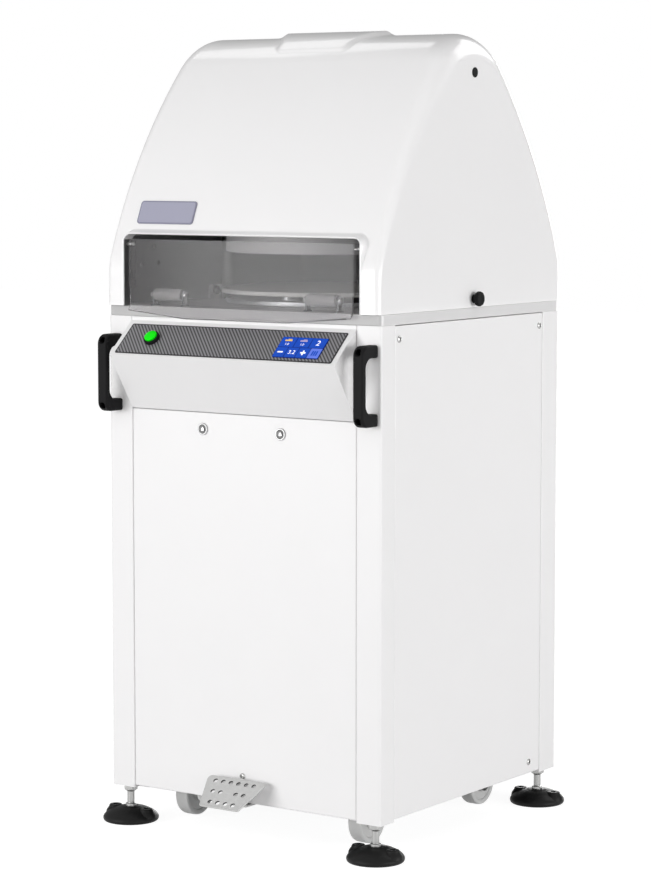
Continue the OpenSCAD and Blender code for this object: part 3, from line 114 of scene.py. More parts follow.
def mixShaders(tree, factor, first, second):
    node = newNode(tree, "ShaderNodeMixShader")
    tree.links.new(factor, node.inputs["Fac"])
    tree.links.new(first.outputs[0], node.inputs[1])
    tree.links.new(second.outputs[0], node.inputs[2])
    return node


def seenDirectly(tree):  # 1 for camera, glossy and transmission rays
    path = newNode(tree, "ShaderNodeLightPath")
    first = newNode(tree, "ShaderNodeMath", operation="MAXIMUM")
    second = newNode(tree, "ShaderNodeMath", operation="MAXIMUM")
    tree.links.new(path.outputs["Is Camera Ray"], first.inputs[0])
    tree.links.new(path.outputs["Is Glossy Ray"], first.inputs[1])
    tree.links.new(first.outputs[0], second.inputs[0])
    tree.links.new(path.outputs["Is Transmission Ray"], second.inputs[1])
    return second.outputs[0]


# studio: white backdrop, an even light from the whole front, little from behind, soft lamps
studio = {
    "front": 0.68, "back": 0.08, "roomTurn": (-0.2, 0.2), "mirrorBack": 0.40, "mirrorTurn": (-0.2, 0.3),
    "floorGlow": 0.915, "floorTone": 0.28, "floorBounce": 0.70, "floorSize": 30.0, "floorDrop": 0.0004,
}
lamps = {
    "keyLamp": {"at": (-2.4, -6.4, 1.35), "aim": (0, 0, 0.75), "size": (4.2, 2.4), "power": 208.0,
                "diffuse": True},
    "sideLamp": {"at": (5.8, 0.2, 0.95), "aim": (0, 0, 0.7), "size": (4.4, 1.8), "power": 178.0,
                 "diffuse": True},
    "backLamp": {"at": (-2.0, 6.4, 1.0), "aim": (0, 0, 0.8), "size": (4.0, 2.0), "power": 140.0,
                 "diffuse": True},
    "topStrip": {"at": (-1.56, 0.74, 3.42), "aim": (0, -0.1, 1.42), "size": (1.25, 0.6), "power": 5.3,
                 "diffuse": False},
    "cornerSoft": {"at": (1.25, 2.4, 2.85), "aim": (0.28, 0, 1.40), "size": (2.2, 1.7), "power": 40.0,
                   "diffuse": False},
}


def buildWorld():
    world = bpy.data.worlds.new("studio")
    scene.world = world
    world.use_nodes = True
    tree = world.node_tree
    tree.nodes.clear()
    out = newNode(tree, "ShaderNodeOutputWorld")
    place = newNode(tree, "ShaderNodeTexCoord")
    parts = newNode(tree, "ShaderNodeSeparateXYZ")
    tree.links.new(place.outputs["Generated"], parts.inputs[0])
    white = newNode(tree, "ShaderNodeBackground", Color=(1, 1, 1, 1), Strength=1.0)
    room = newNode(tree, "ShaderNodeBackground", Color=(1, 1, 1, 1))
    mirror = newNode(tree, "ShaderNodeBackground", Color=(1, 1, 1, 1))  # a darker room for reflections
    dim = spread(tree, parts.outputs["Y"], (studio["front"], studio["back"]), studio["roomTurn"])
    fade = spread(tree, parts.outputs["Y"], (1.0, studio["mirrorBack"]), studio["mirrorTurn"])
    tree.links.new(dim, room.inputs["Strength"])
    tree.links.new(fade, mirror.inputs["Strength"])
    rays = newNode(tree, "ShaderNodeLightPath")
    backdrop = mixShaders(tree, rays.outputs["Is Glossy Ray"], white, mirror)
    mix = mixShaders(tree, seenDirectly(tree), room, backdrop)
    tree.links.new(mix.outputs[0], out.inputs["Surface"])


def buildLamps():
    for name, lamp in lamps.items():
        data = bpy.data.lights.new(name, "AREA")
        data.shape = "RECTANGLE"
        data.size, data.size_y = lamp["size"]
        data.energy = lamp["power"]
        light = aimed(name, data, lamp["at"], lamp["aim"])
        light.visible_diffuse = lamp["diffuse"]


def buildFloor():
    half = studio["floorSize"] / 2
    mesh = bpy.data.meshes.new("floor")
    points = [(x, y, -studio["floorDrop"]) for x, y in rectangle(-half, -half, half, half)]
    mesh.from_pydata(points, [], [(0, 1, 2, 3)])
    pale = bpy.data.materials.new("paleFloor")
    pale.use_nodes = True
    tree = pale.node_tree
    tree.nodes.clear()
    out = newNode(tree, "ShaderNodeOutputMaterial")
    bounce = newNode(tree, "ShaderNodeBsdfDiffuse", Color=(studio["floorBounce"],) * 3 + (1,))
    shade = newNode(tree, "ShaderNodeBsdfDiffuse", Color=(studio["floorTone"],) * 3 + (1,))
    glow = newNode(tree, "ShaderNodeEmission", Color=(1, 1, 1, 1), Strength=studio["floorGlow"])
    both = newNode(tree, "ShaderNodeAddShader")
    tree.links.new(shade.outputs[0], both.inputs[0])
    tree.links.new(glow.outputs[0], both.inputs[1])
    mix = mixShaders(tree, seenDirectly(tree), bounce, both)
    tree.links.new(mix.outputs[0], out.inputs["Surface"])
    mesh.materials.append(pale)
    linked("floor", mesh)


buildWorld()
buildLamps()
buildFloor()
print("camera, lamps and floor set")

# finishes: tint and its spread over patches, roughness, fine grain for bump, tint of convex edges (edge
# rubbing on most finishes, a painted highlight on the hood)
finishSizes = {
    "whitePaint": {"tint": (0.86, 0.853, 0.856), "shade": 0.010, "rough": 0.36, "grain": 900, "bump": 0.035,
                   "edge": 0.985},
    # the hood's paler edge tint is a painted highlight along its convex edges
    "hoodWhite": {"tint": (0.868, 0.861, 0.864), "shade": 0.006, "rough": 0.32, "grain": 300, "bump": 0.012,
                  "coat": 0.5, "edge": 1.08},
    # the hood's inside tint is darkened as painted shade inside the closed hood
    "hoodInside": {"tint": (0.24, 0.237, 0.24), "shade": 0.05, "rough": 0.5, "grain": 300, "bump": 0.03,
                   "edge": 1.05},
    "tableGrey": {"tint": (0.70, 0.695, 0.697), "shade": 0.02, "rough": 0.34, "grain": 700, "bump": 0.03,
                  "edge": 1.2},
    # the table's front face is a darker copy of its grey: painted shade
    "tableFront": {"tint": (0.47, 0.467, 0.468), "shade": 0.02, "rough": 0.36, "grain": 700, "bump": 0.03,
                   "edge": 1.15},
    # the jamb's near-black tint is painted shade in the gap beside the pane
    "jambGrey": {"tint": (0.11, 0.11, 0.11), "shade": 0.1, "rough": 0.55, "grain": 500, "bump": 0.05,
                 "edge": 1.3},
    "frameGrey": {"tint": (0.15, 0.16, 0.17), "shade": 0.08, "rough": 0.45, "grain": 600, "bump": 0.06,
                  "edge": 1.4},
    "brushedSteel": {"tint": (0.50, 0.50, 0.495), "shade": 0.06, "rough": 0.30, "grain": 500, "bump": 0.05,
                     "metal": 1.0,
                     "stretch": (1.0, 1.0, 14.0), "edge": 1.3},
    "shadedSteel": {"tint": (0.20, 0.20, 0.20), "shade": 0.06, "rough": 0.32, "grain": 500, "bump": 0.04,
                    "metal": 1.0,
                    "stretch": (1.0, 1.0, 14.0), "edge": 1.3},
    "castAlloy": {"tint": (0.55, 0.56, 0.57), "shade": 0.06, "rough": 0.42, "grain": 480, "bump": 0.10,
                  "metal": 1.0, "edge": 1.25},
    "plateWhite": {"tint": (0.78, 0.78, 0.75), "shade": 0.04, "rough": 0.5, "grain": 350, "bump": 0.05,
                   "edge": 1.1},
    "blackPlastic": {"tint": (0.008, 0.008, 0.0085), "shade": 0.15, "rough": 0.55, "grain": 1400,
                     "bump": 0.08, "gleam": 0.09, "edge": 1.5},
    "padRubber": {"tint": (0.009, 0.009, 0.009), "shade": 0.2, "rough": 0.45, "grain": 700, "bump": 0.08,
                  "gleam": 0.14, "edge": 1.5},
    "wheelGrey": {"tint": (0.58, 0.58, 0.575), "shade": 0.06, "rough": 0.5, "grain": 600, "bump": 0.08,
                  "edge": 1.2},
    "beltRubber": {"tint": (0.012, 0.012, 0.012), "shade": 0.2, "rough": 0.7, "grain": 500, "bump": 0.15,
                   "edge": 1.5},
    "badgeGrey": {"tint": (0.33, 0.33, 0.42), "shade": 0.03, "rough": 0.42, "grain": 500, "bump": 0.04,
                  "metal": 0.2,
                  "stretch": (14.0, 1.0, 1.0), "edge": 1.15},
    "badgeEdge": {"tint": (0.22, 0.22, 0.29), "shade": 0.03, "rough": 0.4, "grain": 500, "bump": 0.03,
                  "metal": 0.2, "edge": 1.2},
    "unitBlue": {"tint": (0.03, 0.07, 0.13), "shade": 0.08, "rough": 0.35, "grain": 500, "bump": 0.04,
                 "edge": 1.5},
    "chrome": {"tint": (0.62, 0.62, 0.62), "shade": 0.03, "rough": 0.18, "grain": 500, "bump": 0.02,
               "metal": 1.0, "edge": 1.3},
    # near-black: the fascia's own border, and painted shade on punched hole walls and sunk handle screws
    "darkInsert": {"tint": (0.02, 0.02, 0.021), "shade": 0.1, "rough": 0.4, "grain": 700, "bump": 0.05,
                   "gleam": 0.25, "edge": 1.4},
    "screwSteel": {"tint": (0.40, 0.40, 0.395), "shade": 0.05, "rough": 0.28, "grain": 600, "bump": 0.03,
                   "metal": 1.0, "edge": 1.3},
    "greenCap": {"tint": (0.003, 0.90, 0.004), "shade": 0.04, "rough": 0.3, "grain": 400, "bump": 0.02,
                 "gleam": 0.12, "edge": 1.05},
    "lockInner": {"tint": (0.28, 0.28, 0.28), "shade": 0.08, "rough": 0.4, "grain": 600, "bump": 0.03,
                  "metal": 0.6, "edge": 1.3},
    "lockSteel": {"tint": (0.39, 0.39, 0.39), "shade": 0.06, "rough": 0.35, "grain": 600, "bump": 0.03,
                  "metal": 1.0, "edge": 1.3},
    "rollerNylon": {"tint": (0.34, 0.335, 0.335), "shade": 0.05, "rough": 0.55, "grain": 500, "bump": 0.06,
                    "edge": 1.2},
    "matteAlloy": {"tint": (0.62, 0.615, 0.615), "shade": 0.05, "rough": 0.62, "grain": 420, "bump": 0.06,
                   "metal": 0.2, "edge": 1.2},
    "blastedSteel": {"tint": (0.50, 0.50, 0.495), "shade": 0.28, "rough": 0.5, "grain": 520, "bump": 0.25,
                     "metal": 0.4,
                     "patch": 520.0, "edge": 1.25},
}
edgeWearAndHighlight = {"span": (0.515, 0.60), "most": 0.97}  # pointiness from flat to rubbed edge, and the palest edge tint, for rubbing and painted highlight
glossSpread = 0.06  # roughness either side of a finish's own
paneLook = {"haze": 14.0, "gloss": (0.05, 0.12), "bend": 1.2, "low": (-0.02, -0.03, -0.025),
            "high": (0.02, 0.01, 0.015)}
twillLook = {"dark": (0.022, 0.022, 0.023, 1), "pale": (0.27, 0.265, 0.28, 1), "speck": 240.0,
             "gloss": (0.26, 0.42), "bump": 0.12, "deep": 0.0003}
screenLooks = {  # tint and glow
    "screenBlue": ((0.005, 0.058, 0.43), 0.35), "screenPale": ((0.10, 0.17, 0.66), 0.35),
    "screenDeep": ((0.0015, 0.016, 0.16), 0.3), "screenWhite": ((0.9, 0.92, 1.0), 0.5),
    "screenYellow": ((0.80, 0.52, 0.12), 0.3), "screenPink": ((0.42, 0.34, 0.50), 0.3),
}


def newFinish(name):
    finish = bpy.data.materials.new(name)
    finish.use_nodes = True
    return finish, finish.node_tree, finish.node_tree.nodes["Principled BSDF"]


def noise(tree, source, scale, detail, roughness=0.5):
    node = newNode(tree, "ShaderNodeTexNoise", Scale=scale, Detail=detail, Roughness=roughness)
    tree.links.new(source, node.inputs["Vector"])
    return node.outputs["Fac"]


def relief(tree, shader, height, strength, deep):
    bump = newNode(tree, "ShaderNodeBump", Strength=strength, Distance=deep)
    tree.links.new(height, bump.inputs["Height"])
    tree.links.new(bump.outputs["Normal"], shader.inputs["Normal"])


def toned(tint, share, most=1.0):
    return [min(most, c * share) for c in tint] + [1.0]


def makeFinish(name, recipe):
    finish, tree, shader = newFinish(name)
    place = newNode(tree, "ShaderNodeTexCoord")
    turn = newNode(tree, "ShaderNodeMapping")
    turn.inputs["Scale"].default_value = recipe.get("stretch", (1.0, 1.0, 1.0))
    tree.links.new(place.outputs["Object"], turn.inputs["Vector"])
    patches = noise(tree, turn.outputs[0], recipe.get("patch", 9.0), 4.0, 0.55)
    grains = noise(tree, turn.outputs[0], recipe["grain"], 2.0)
    tint, shade, rough = recipe["tint"], recipe["shade"], recipe["rough"]
    tints = blend(tree, patches, toned(tint, 1 - shade), toned(tint, 1 + shade))
    # convex edges take the edge tint: rubbing on most finishes, a painted highlight on the hood
    shape = newNode(tree, "ShaderNodeNewGeometry")
    wearAndHighlightShare = spread(tree, shape.outputs["Pointiness"], (0.0, 1.0), edgeWearAndHighlight["span"])
    wornAndHighlightTint = blend(tree, wearAndHighlightShare, toned(tint, 1.0), toned(tint, recipe["edge"], edgeWearAndHighlight["most"]))
    tree.links.new(tints.outputs[mixOut], wornAndHighlightTint.inputs[mixLow])
    tree.links.new(wornAndHighlightTint.outputs[mixOut], shader.inputs["Base Color"])
    gloss = spread(tree, patches, (max(0.05, rough - glossSpread), rough + glossSpread))
    tree.links.new(gloss, shader.inputs["Roughness"])
    relief(tree, shader, grains, recipe["bump"], 0.0005)
    shader.inputs["Metallic"].default_value = recipe.get("metal", 0.0)
    shader.inputs["Specular IOR Level"].default_value = recipe.get("gleam", 0.5)
    shader.inputs["Coat Weight"].default_value = recipe.get("coat", 0.0)
    shader.inputs["Coat Roughness"].default_value = 0.09
    return finish


def smokedPane(name, tint, clear):
    finish, tree, shader = newFinish(name)
    place = newNode(tree, "ShaderNodeTexCoord")
    haze = noise(tree, place.outputs["Object"], paneLook["haze"], 3.0)
    tree.links.new(spread(tree, haze, paneLook["gloss"]), shader.inputs["Roughness"])
    low = [tint + step for step in paneLook["low"]] + [1.0]
    high = [tint + step for step in paneLook["high"]] + [1.0]
    tree.links.new(blend(tree, haze, low, high).outputs[mixOut], shader.inputs["Base Color"])
    shader.inputs["Transmission Weight"].default_value = clear
    shader.inputs["IOR"].default_value = paneLook["bend"]
    return finish


def twillFascia(name):  # diagonal weave printed under a clear film
    finish, tree, shader = newFinish(name)
    place = newNode(tree, "ShaderNodeTexCoord")
    turn = newNode(tree, "ShaderNodeMapping")
    turn.inputs["Scale"].default_value = (math.pi / 10, 1.0, 1.0)  # one band a unit
    waves = newNode(tree, "ShaderNodeTexWave", Scale=1.0, Distortion=0.0, wave_type="BANDS",
                    bands_direction="X")
    tree.links.new(place.outputs["UV"], turn.inputs["Vector"])
    tree.links.new(turn.outputs[0], waves.inputs["Vector"])
    weave = blend(tree, waves.outputs["Fac"], twillLook["dark"], twillLook["pale"])
    tree.links.new(weave.outputs[mixOut], shader.inputs["Base Color"])
    speck = noise(tree, place.outputs["Object"], twillLook["speck"], 2.0)
    tree.links.new(spread(tree, speck, twillLook["gloss"]), shader.inputs["Roughness"])
    relief(tree, shader, waves.outputs["Fac"], twillLook["bump"], twillLook["deep"])
    return finish


def litFinish(name, tint, glow):  # parts of the lit display
    finish, tree, shader = newFinish(name)
    place = newNode(tree, "ShaderNodeTexCoord")
    fade = noise(tree, place.outputs["Object"], 60.0, 1.0)
    tints = blend(tree, fade, toned(tint, 0.94), toned(tint, 1.06))
    tree.links.new(tints.outputs[mixOut], shader.inputs["Base Color"])
    shader.inputs["Roughness"].default_value = 0.25
    shader.inputs["Specular IOR Level"].default_value = 0.12
    shader.inputs["Emission Color"].default_value = tuple(tint) + (1.0,)
    shader.inputs["Emission Strength"].default_value = glow
    return finish


finishes = {name: makeFinish(name, recipe) for name, recipe in finishSizes.items()}
finishes["smokedPane"] = smokedPane("smokedPane", 0.70, 0.94)
# the lip is a paler copy of the smoked sheet: painted reflection
finishes["smokedLip"] = smokedPane("smokedLip", 0.84, 0.92)
finishes["twillFascia"] = twillFascia("twillFascia")
for name, (tint, glow) in screenLooks.items():
    finishes[name] = litFinish(name, tint, glow)
print("finishes made:", len(finishes))

# shared workshop helpers
weldGap = 0.00001
bandSizes = {"wide": 2.5, "least": 60.0, "most": 178.0}  # edge band and the corner angles it copes with


def sinD(angle):
    return math.sin(math.radians(angle))


def cosD(angle):
    return math.cos(math.radians(angle))


def meshPiece(name, points, faces):  # points in millimetres in the machine's frame
    mesh = bpy.data.meshes.new(name)
    mesh.from_pydata([(p[0] * metre, p[1] * metre, p[2] * metre) for p in points], [], faces)
    return linked(name, mesh)


def band(first, second, flip=False):  # quads between two lines of points
    if flip:
        return [(first[k], first[k + 1], second[k + 1], second[k]) for k in range(len(first) - 1)]
    return [(first[k], second[k], second[k + 1], first[k + 1]) for k in range(len(first) - 1)]


@contextmanager
def reworked(piece):
    work = bmesh.new()
    work.from_mesh(piece.data)
    yield work
    work.to_mesh(piece.data)
    work.free()


def mend(piece):
    with reworked(piece) as work:
        bmesh.ops.remove_doubles(work, verts=work.verts, dist=weldGap)
        bmesh.ops.recalc_face_normals(work, faces=work.faces)


def settle(piece):  # live modifiers become plain mesh
    ready = piece.evaluated_get(bpy.context.evaluated_depsgraph_get())
    old = piece.data
    mesh = bpy.data.meshes.new_from_object(ready)
    piece.modifiers.clear()
    piece.data = mesh
    mesh.name = piece.name
    if old.users == 0:
        bpy.data.meshes.remove(old)


def smoothFaces(piece, angle, flats=False):
    piece.data.shade_smooth()
    piece.data.set_sharp_from_angle(angle=math.radians(angle))
    if flats:  # large flat faces keep their own normals
        weigh = piece.modifiers.new("flats", "WEIGHTED_NORMAL")
        weigh.keep_sharp = True
        weigh.weight = 100


def edgeBand(piece):  # narrow faces along the edges of large flat ones, so edge rubbing and painted edge highlight stay at the edges
    b = bandSizes
    with reworked(piece) as work:
        wide = []
        for face in work.faces:
            least, most = math.radians(b["least"]), math.radians(b["most"])
            square = all(least < loop.calc_angle() < most and loop.is_convex for loop in face.loops)
            if square and min(edge.calc_length() for edge in face.edges) > 3 * b["wide"] * metre:
                wide.append(face)
        bmesh.ops.inset_individual(work, faces=wide, thickness=b["wide"] * metre, use_even_offset=False)


def roundEdges(piece, width, steps=2, angle=35.0):
    edge = piece.modifiers.new("edges", "BEVEL")
    edge.width = width * metre
    edge.segments = steps
    edge.limit_method = "ANGLE"
    edge.angle_limit = math.radians(angle)
    edge.use_clamp_overlap = True
    settle(piece)
    edgeBand(piece)
    smoothFaces(piece, 50.0, flats=True)
    settle(piece)


def thicken(piece, wall, inside=0):
    sheet = piece.modifiers.new("wall", "SOLIDIFY")
    sheet.material_offset = inside
    sheet.thickness = wall * metre
    sheet.offset = -1.0
    sheet.use_even_offset = True
    settle(piece)


def markFaces(piece, index):  # every face takes one of the piece's finishes
    for face in piece.data.polygons:
        face.material_index = index


def paint(piece, *names):
    mesh = piece.data
    kinds = [face.material_index for face in mesh.polygons]
    mesh.materials.clear()
    for name in names:
        mesh.materials.append(finishes[name])
    mesh.polygons.foreach_set("material_index", kinds)


def mount(piece, body, slot, *nodes):
    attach(piece, body)
    if nodes:
        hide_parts(*nodes)


def discard(*pieces):
    for piece in pieces:
        mesh = piece.data
        bpy.data.objects.remove(piece)
        bpy.data.meshes.remove(mesh)


def joined(name, pieces):  # several meshes in one piece
    work = bmesh.new()
    for part in pieces:
        work.from_mesh(part.data)
    mesh = bpy.data.meshes.new(name)
    work.to_mesh(mesh)
    work.free()
    discard(*pieces)
    return linked(name, mesh)


def placed(piece, matrix):  # matrix in metres
    piece.data.transform(matrix)
    return piece


def shift(x, y, z):
    return Matrix.Translation((x * metre, y * metre, z * metre))


def spin(angle, axis):
    return Matrix.Rotation(math.radians(angle), 4, axis)


def boxOf(node):  # low and high corners of a CAD node in millimetres
    low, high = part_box(node)
    return [v * 1000 for v in low], [v * 1000 for v in high]


def roundedPath(corners, radius, steps, closed=True):
    out = []
    count = len(corners)
    for i, corner in enumerate(corners):
        here = Vector(corner)
        r = radius[i] if isinstance(radius, (list, tuple)) else radius
        if r <= 0 or (not closed and i in (0, count - 1)):
            out.append((here.x, here.y))
            continue
        before = (Vector(corners[i - 1]) - here).normalized()
        after = (Vector(corners[(i + 1) % count]) - here).normalized()
        half = before.angle(after) / 2
        run = r / math.tan(half)
        middle = here + (before + after).normalized() * (r / math.sin(half))
        start = here + before * run - middle
        end = here + after * run - middle
        a0 = math.atan2(start.y, start.x)
        sweep = math.atan2(end.y, end.x) - a0
        sweep = (sweep + math.pi) % (2 * math.pi) - math.pi
        for k in range(steps + 1):
            a = a0 + sweep * k / steps
            out.append((middle.x + r * math.cos(a), middle.y + r * math.sin(a)))
    return out


def prism(name, outline, low, high):  # outline in the XY plane
    n = len(outline)
    points = [(x, y, low) for x, y in outline] + [(x, y, high) for x, y in outline]
    faces = [tuple(range(n - 1, -1, -1)), tuple(range(n, 2 * n))]
    faces += [(i, (i + 1) % n, n + (i + 1) % n, n + i) for i in range(n)]
    piece = meshPiece(name, points, faces)
    mend(piece)
    return piece


def lathe(name, profile, steps):  # profile of (radius, height), turned about Z
    points, faces, rings = [], [], []
    turns = [2 * math.pi * k / steps for k in range(steps)]
    tiny = 1e-6
    for r, z in profile:
        if r < tiny:
            rings.append([len(points)] * steps)
            points.append((0.0, 0.0, z))
        else:
            rings.append([len(points) + k for k in range(steps)])
            points += [(r * math.cos(a), r * math.sin(a), z) for a in turns]
    for a, b in zip(rings, rings[1:]):
        for k in range(steps):
            m = (k + 1) % steps
            face = tuple(dict.fromkeys((a[k], a[m], b[m], b[k])))  # a pole's point counts once
            if len(face) > 2:
                faces.append(face)
    if profile[0][0] > tiny:
        faces.append(tuple(reversed(rings[0])))
    if profile[-1][0] > tiny:
        faces.append(tuple(rings[-1]))
    piece = meshPiece(name, points, faces)
    mend(piece)
    return piece


def arcProfile(r0, z0, r1, z1, steps=4):  # quarter round, leaves upright and arrives level
    turns = [math.pi / 2 * k / steps for k in range(steps + 1)]
    return [(r1 + (r0 - r1) * math.cos(a), z0 + (z1 - z0) * math.sin(a)) for a in turns]


def uprightProfile(piece):  # an outline drawn in depth and height, with its width along X
    return placed(piece, Matrix(((0, 0, 1, 0), (1, 0, 0, 0), (0, 1, 0, 0), (0, 0, 0, 1))))


def softCopy(node, width):  # CAD solid with its edges eased
    piece = linked(node + "_dressed", frame["nodes"][node].data.copy())
    for layer in ("custom_normal", "sharp_edge", "sharp_face"):
        if layer in piece.data.attributes:
            piece.data.attributes.remove(piece.data.attributes[layer])
    with reworked(piece) as work:
        bmesh.ops.remove_doubles(work, verts=work.verts, dist=2 * weldGap)
        bmesh.ops.dissolve_limit(work, angle_limit=math.radians(0.3), verts=work.verts, edges=work.edges)
    roundEdges(piece, width, angle=38.0)
    return piece


# Geometry Nodes trees for what repeats
def groupTree(name, inputs):  # an empty tree with its named inputs
    tree = bpy.data.node_groups.new(name, "GeometryNodeTree")
    tree.interface.new_socket("Geometry", in_out="INPUT", socket_type="NodeSocketGeometry")
    for label, kind in inputs.items():
        tree.interface.new_socket(label, in_out="INPUT", socket_type="NodeSocket" + kind)
    tree.interface.new_socket("Geometry", in_out="OUTPUT", socket_type="NodeSocketGeometry")
    return tree, newNode(tree, "NodeGroupInput")


def shapeFrom(tree, start, label):  # the mesh of an object input
    shape = newNode(tree, "GeometryNodeObjectInfo", transform_space="ORIGINAL")
    tree.links.new(start.outputs[label], shape.inputs["Object"])
    return shape.outputs["Geometry"]


def copiesOn(tree, points, shape):
    copies = newNode(tree, "GeometryNodeInstanceOnPoints")
    tree.links.new(points, copies.inputs["Points"])
    tree.links.new(shape, copies.inputs["Instance"])
    return copies


def cutOut(tree, whole, cutters):
    real = newNode(tree, "GeometryNodeRealizeInstances")
    minus = newNode(tree, "GeometryNodeMeshBoolean", operation="DIFFERENCE")
    tree.links.new(cutters.outputs[0], real.inputs[0])
    tree.links.new(whole, minus.inputs["Mesh 1"])
    tree.links.new(real.outputs[0], minus.inputs["Mesh 2"])
    return minus.outputs["Mesh"]


def endTree(tree, start, result):  # plain mesh in the finish that was asked for
    real = newNode(tree, "GeometryNodeRealizeInstances")
    finish = newNode(tree, "GeometryNodeSetMaterial")
    end = newNode(tree, "NodeGroupOutput")
    tree.links.new(result, real.inputs[0])
    tree.links.new(real.outputs[0], finish.inputs["Geometry"])
    tree.links.new(start.outputs["Finish"], finish.inputs["Material"])
    tree.links.new(finish.outputs[0], end.inputs[0])
    return tree


def applyTree(piece, tree, values):  # inputs go by the socket's identifier
    maker = piece.modifiers.new("nodes", "NODES")
    maker.node_group = tree
    for item in tree.interface.items_tree:
        if item.item_type == "SOCKET" and item.in_out == "INPUT" and item.name in values:
            maker[item.identifier] = values[item.name]
    settle(piece)


def scatterTree():  # one shape on every point of a mesh, turned by the points' own attribute
    tree, start = groupTree("scatterOnPoints", {"Shape": "Object", "Size": "Float", "Finish": "Material"})
    copies = copiesOn(tree, start.outputs["Geometry"], shapeFrom(tree, start, "Shape"))
    turn = newNode(tree, "GeometryNodeInputNamedAttribute", data_type="FLOAT_VECTOR")
    turn.inputs["Name"].default_value = "turn"
    toTurn = newNode(tree, "FunctionNodeEulerToRotation")
    tree.links.new(turn.outputs["Attribute"], toTurn.inputs[0])
    tree.links.new(toTurn.outputs[0], copies.inputs["Rotation"])
    tree.links.new(start.outputs["Size"], copies.inputs["Scale"])
    return endTree(tree, start, copies.outputs[0])


scatter = scatterTree()


def pointMesh(name, places):  # places of (x, y, z, turns in degrees)
    mesh = bpy.data.meshes.new(name)
    mesh.from_pydata([(p[0] * metre, p[1] * metre, p[2] * metre) for p in places], [], [])
    turns = mesh.attributes.new("turn", "FLOAT_VECTOR", "POINT")
    turns.data.foreach_set("vector", [math.radians(a) for p in places for a in p[3]])
    return linked(name, mesh)


def scattered(name, shape, places, finish, size=1.0):
    piece = pointMesh(name, places)
    applyTree(piece, scatter, {"Shape": shape, "Size": size, "Finish": finishes[finish]})
    return piece


# hood: one moulded shell, arcs in profile, rounded ends, a raised crown pad and a framed window
hoodSizes = {
    "base": 962.3, "halfWide": 299.0, "halfDeep": 308.0, "straight": 55.0, "shoulderR": 130.0,
    "shoulderA": 18.5, "slopeR": 1036.0, "crownA": 40.4, "edgeLow": 10.0, "edgeHigh": 44.0,
    "edgePower": 1.6, "wall": 4.0, "padHalf": 80.0, "padReach": 88.0, "padFlare": 50.0, "padRise": 9.0,
    "padRamp": 8.0, "padFront": 7.0, "padTaper": 1.5, "padSpread": 1.75, "padEase": 1.5, "padCorner": 6.0,
    "padCornerRun": 12.0, "padLow": 0.4, "windowHalf": 259.0, "windowTop": 1092.0, "windowR": 12.0,
    "windowClear": 46.0, "gridGap": 6.0, "rimOut": 1.0, "rimDeep": 25.0, "jambDeep": 8.0, "rimFlat": 2.8,
    "rimRound": 2.4, "rimFoot": 0.8, "rimEase": 0.32, "rimLean": 3.5, "rimProbe": 9.0, "rimPower": 0.9,
}
hoodSteps = {"straight": (0, 4, 10, 18, 28, 40, 55), "shoulder": 10, "slope": 30, "edge": 14, "jamb": 12,
             "corner": 9, "head": 42, "rimArc": 5, "flare": 8, "spare": 8}
# close together at the pad
crownAngles = [42, 44, 46] + [47 + 0.6 * k for k in range(16)] + [58 + 2.0 * k for k in range(17)]
hoodColumns = [-250 + 10 * k for k in range(11)] + [-146 + 4 * k for k in range(22)]
hoodColumns += [-54 + 9 * k for k in range(7)]
hoodColumns = sorted(set(hoodColumns + [-x for x in hoodColumns]))


def smoothStep(t):
    t = np.clip(t, 0.0, 1.0)
    return t * t * (3 - 2 * t)


def hoodRows():  # (y, z, slope from upright) from the front edge over the ridge to the back
    h = hoodSizes
    sinS, cosS = sinD(h["shoulderA"]), cosD(h["shoulderA"])
    sinC, cosC = sinD(h["crownA"]), cosD(h["crownA"])
    crownR = (h["halfDeep"] - h["shoulderR"] * (1 - cosS) - h["slopeR"] * (cosS - cosC)) / cosC
    shoulderZ = h["base"] + h["straight"]
    slopeZ = shoulderZ + h["shoulderR"] * sinS
    crownZ = slopeZ + h["slopeR"] * (sinC - sinS)
    ridge = crownZ + crownR * (1 - sinC)
    rows = [(-h["halfDeep"], h["base"] + t, 0.0) for t in hoodSteps["straight"]]
    for k in range(1, hoodSteps["shoulder"] + 1):
        a = h["shoulderA"] * k / hoodSteps["shoulder"]
        rows.append((-h["halfDeep"] + h["shoulderR"] * (1 - cosD(a)), shoulderZ + h["shoulderR"] * sinD(a),
                     a))
    for k in range(1, hoodSteps["slope"] + 1):
        a = h["shoulderA"] + (h["crownA"] - h["shoulderA"]) * k / hoodSteps["slope"]
        rows.append((-crownR * cosC - h["slopeR"] * (cosD(a) - cosC),
                     slopeZ + h["slopeR"] * (sinD(a) - sinS), a))
    for a in crownAngles:
        rows.append((-crownR * cosD(a), ridge - crownR * (1 - sinD(a)), a))
    back = [(-y, z, 180 - a) for y, z, a in rows[-2::-1]]
    return rows + back, ridge


def padLift(x, y):
    h = hoodSizes
    share = max(0.0, 1 - abs(y) / h["padReach"])
    base = h["padHalf"] + h["padFlare"] * share ** h["padTaper"]
    ramp = h["padRamp"] * (1 + h["padSpread"] * share)
    front = smoothStep((h["padReach"] + h["padEase"] - abs(y)) / h["padFront"])
    corner = h["padCorner"] * (1 - smoothStep((h["padReach"] - abs(y)) / h["padCornerRun"]))
    side = smoothStep((base - corner - abs(x)) / ramp)
    return h["padRise"] * (h["padLow"] + (1 - h["padLow"]) * share) * float(front) * float(side)


def putOnShell(points, x, row, deep):  # deep goes inwards, square to the profile
    y, z, a = row
    points.append((x, y + deep * cosD(a), z - deep * sinD(a)))
    return len(points) - 1


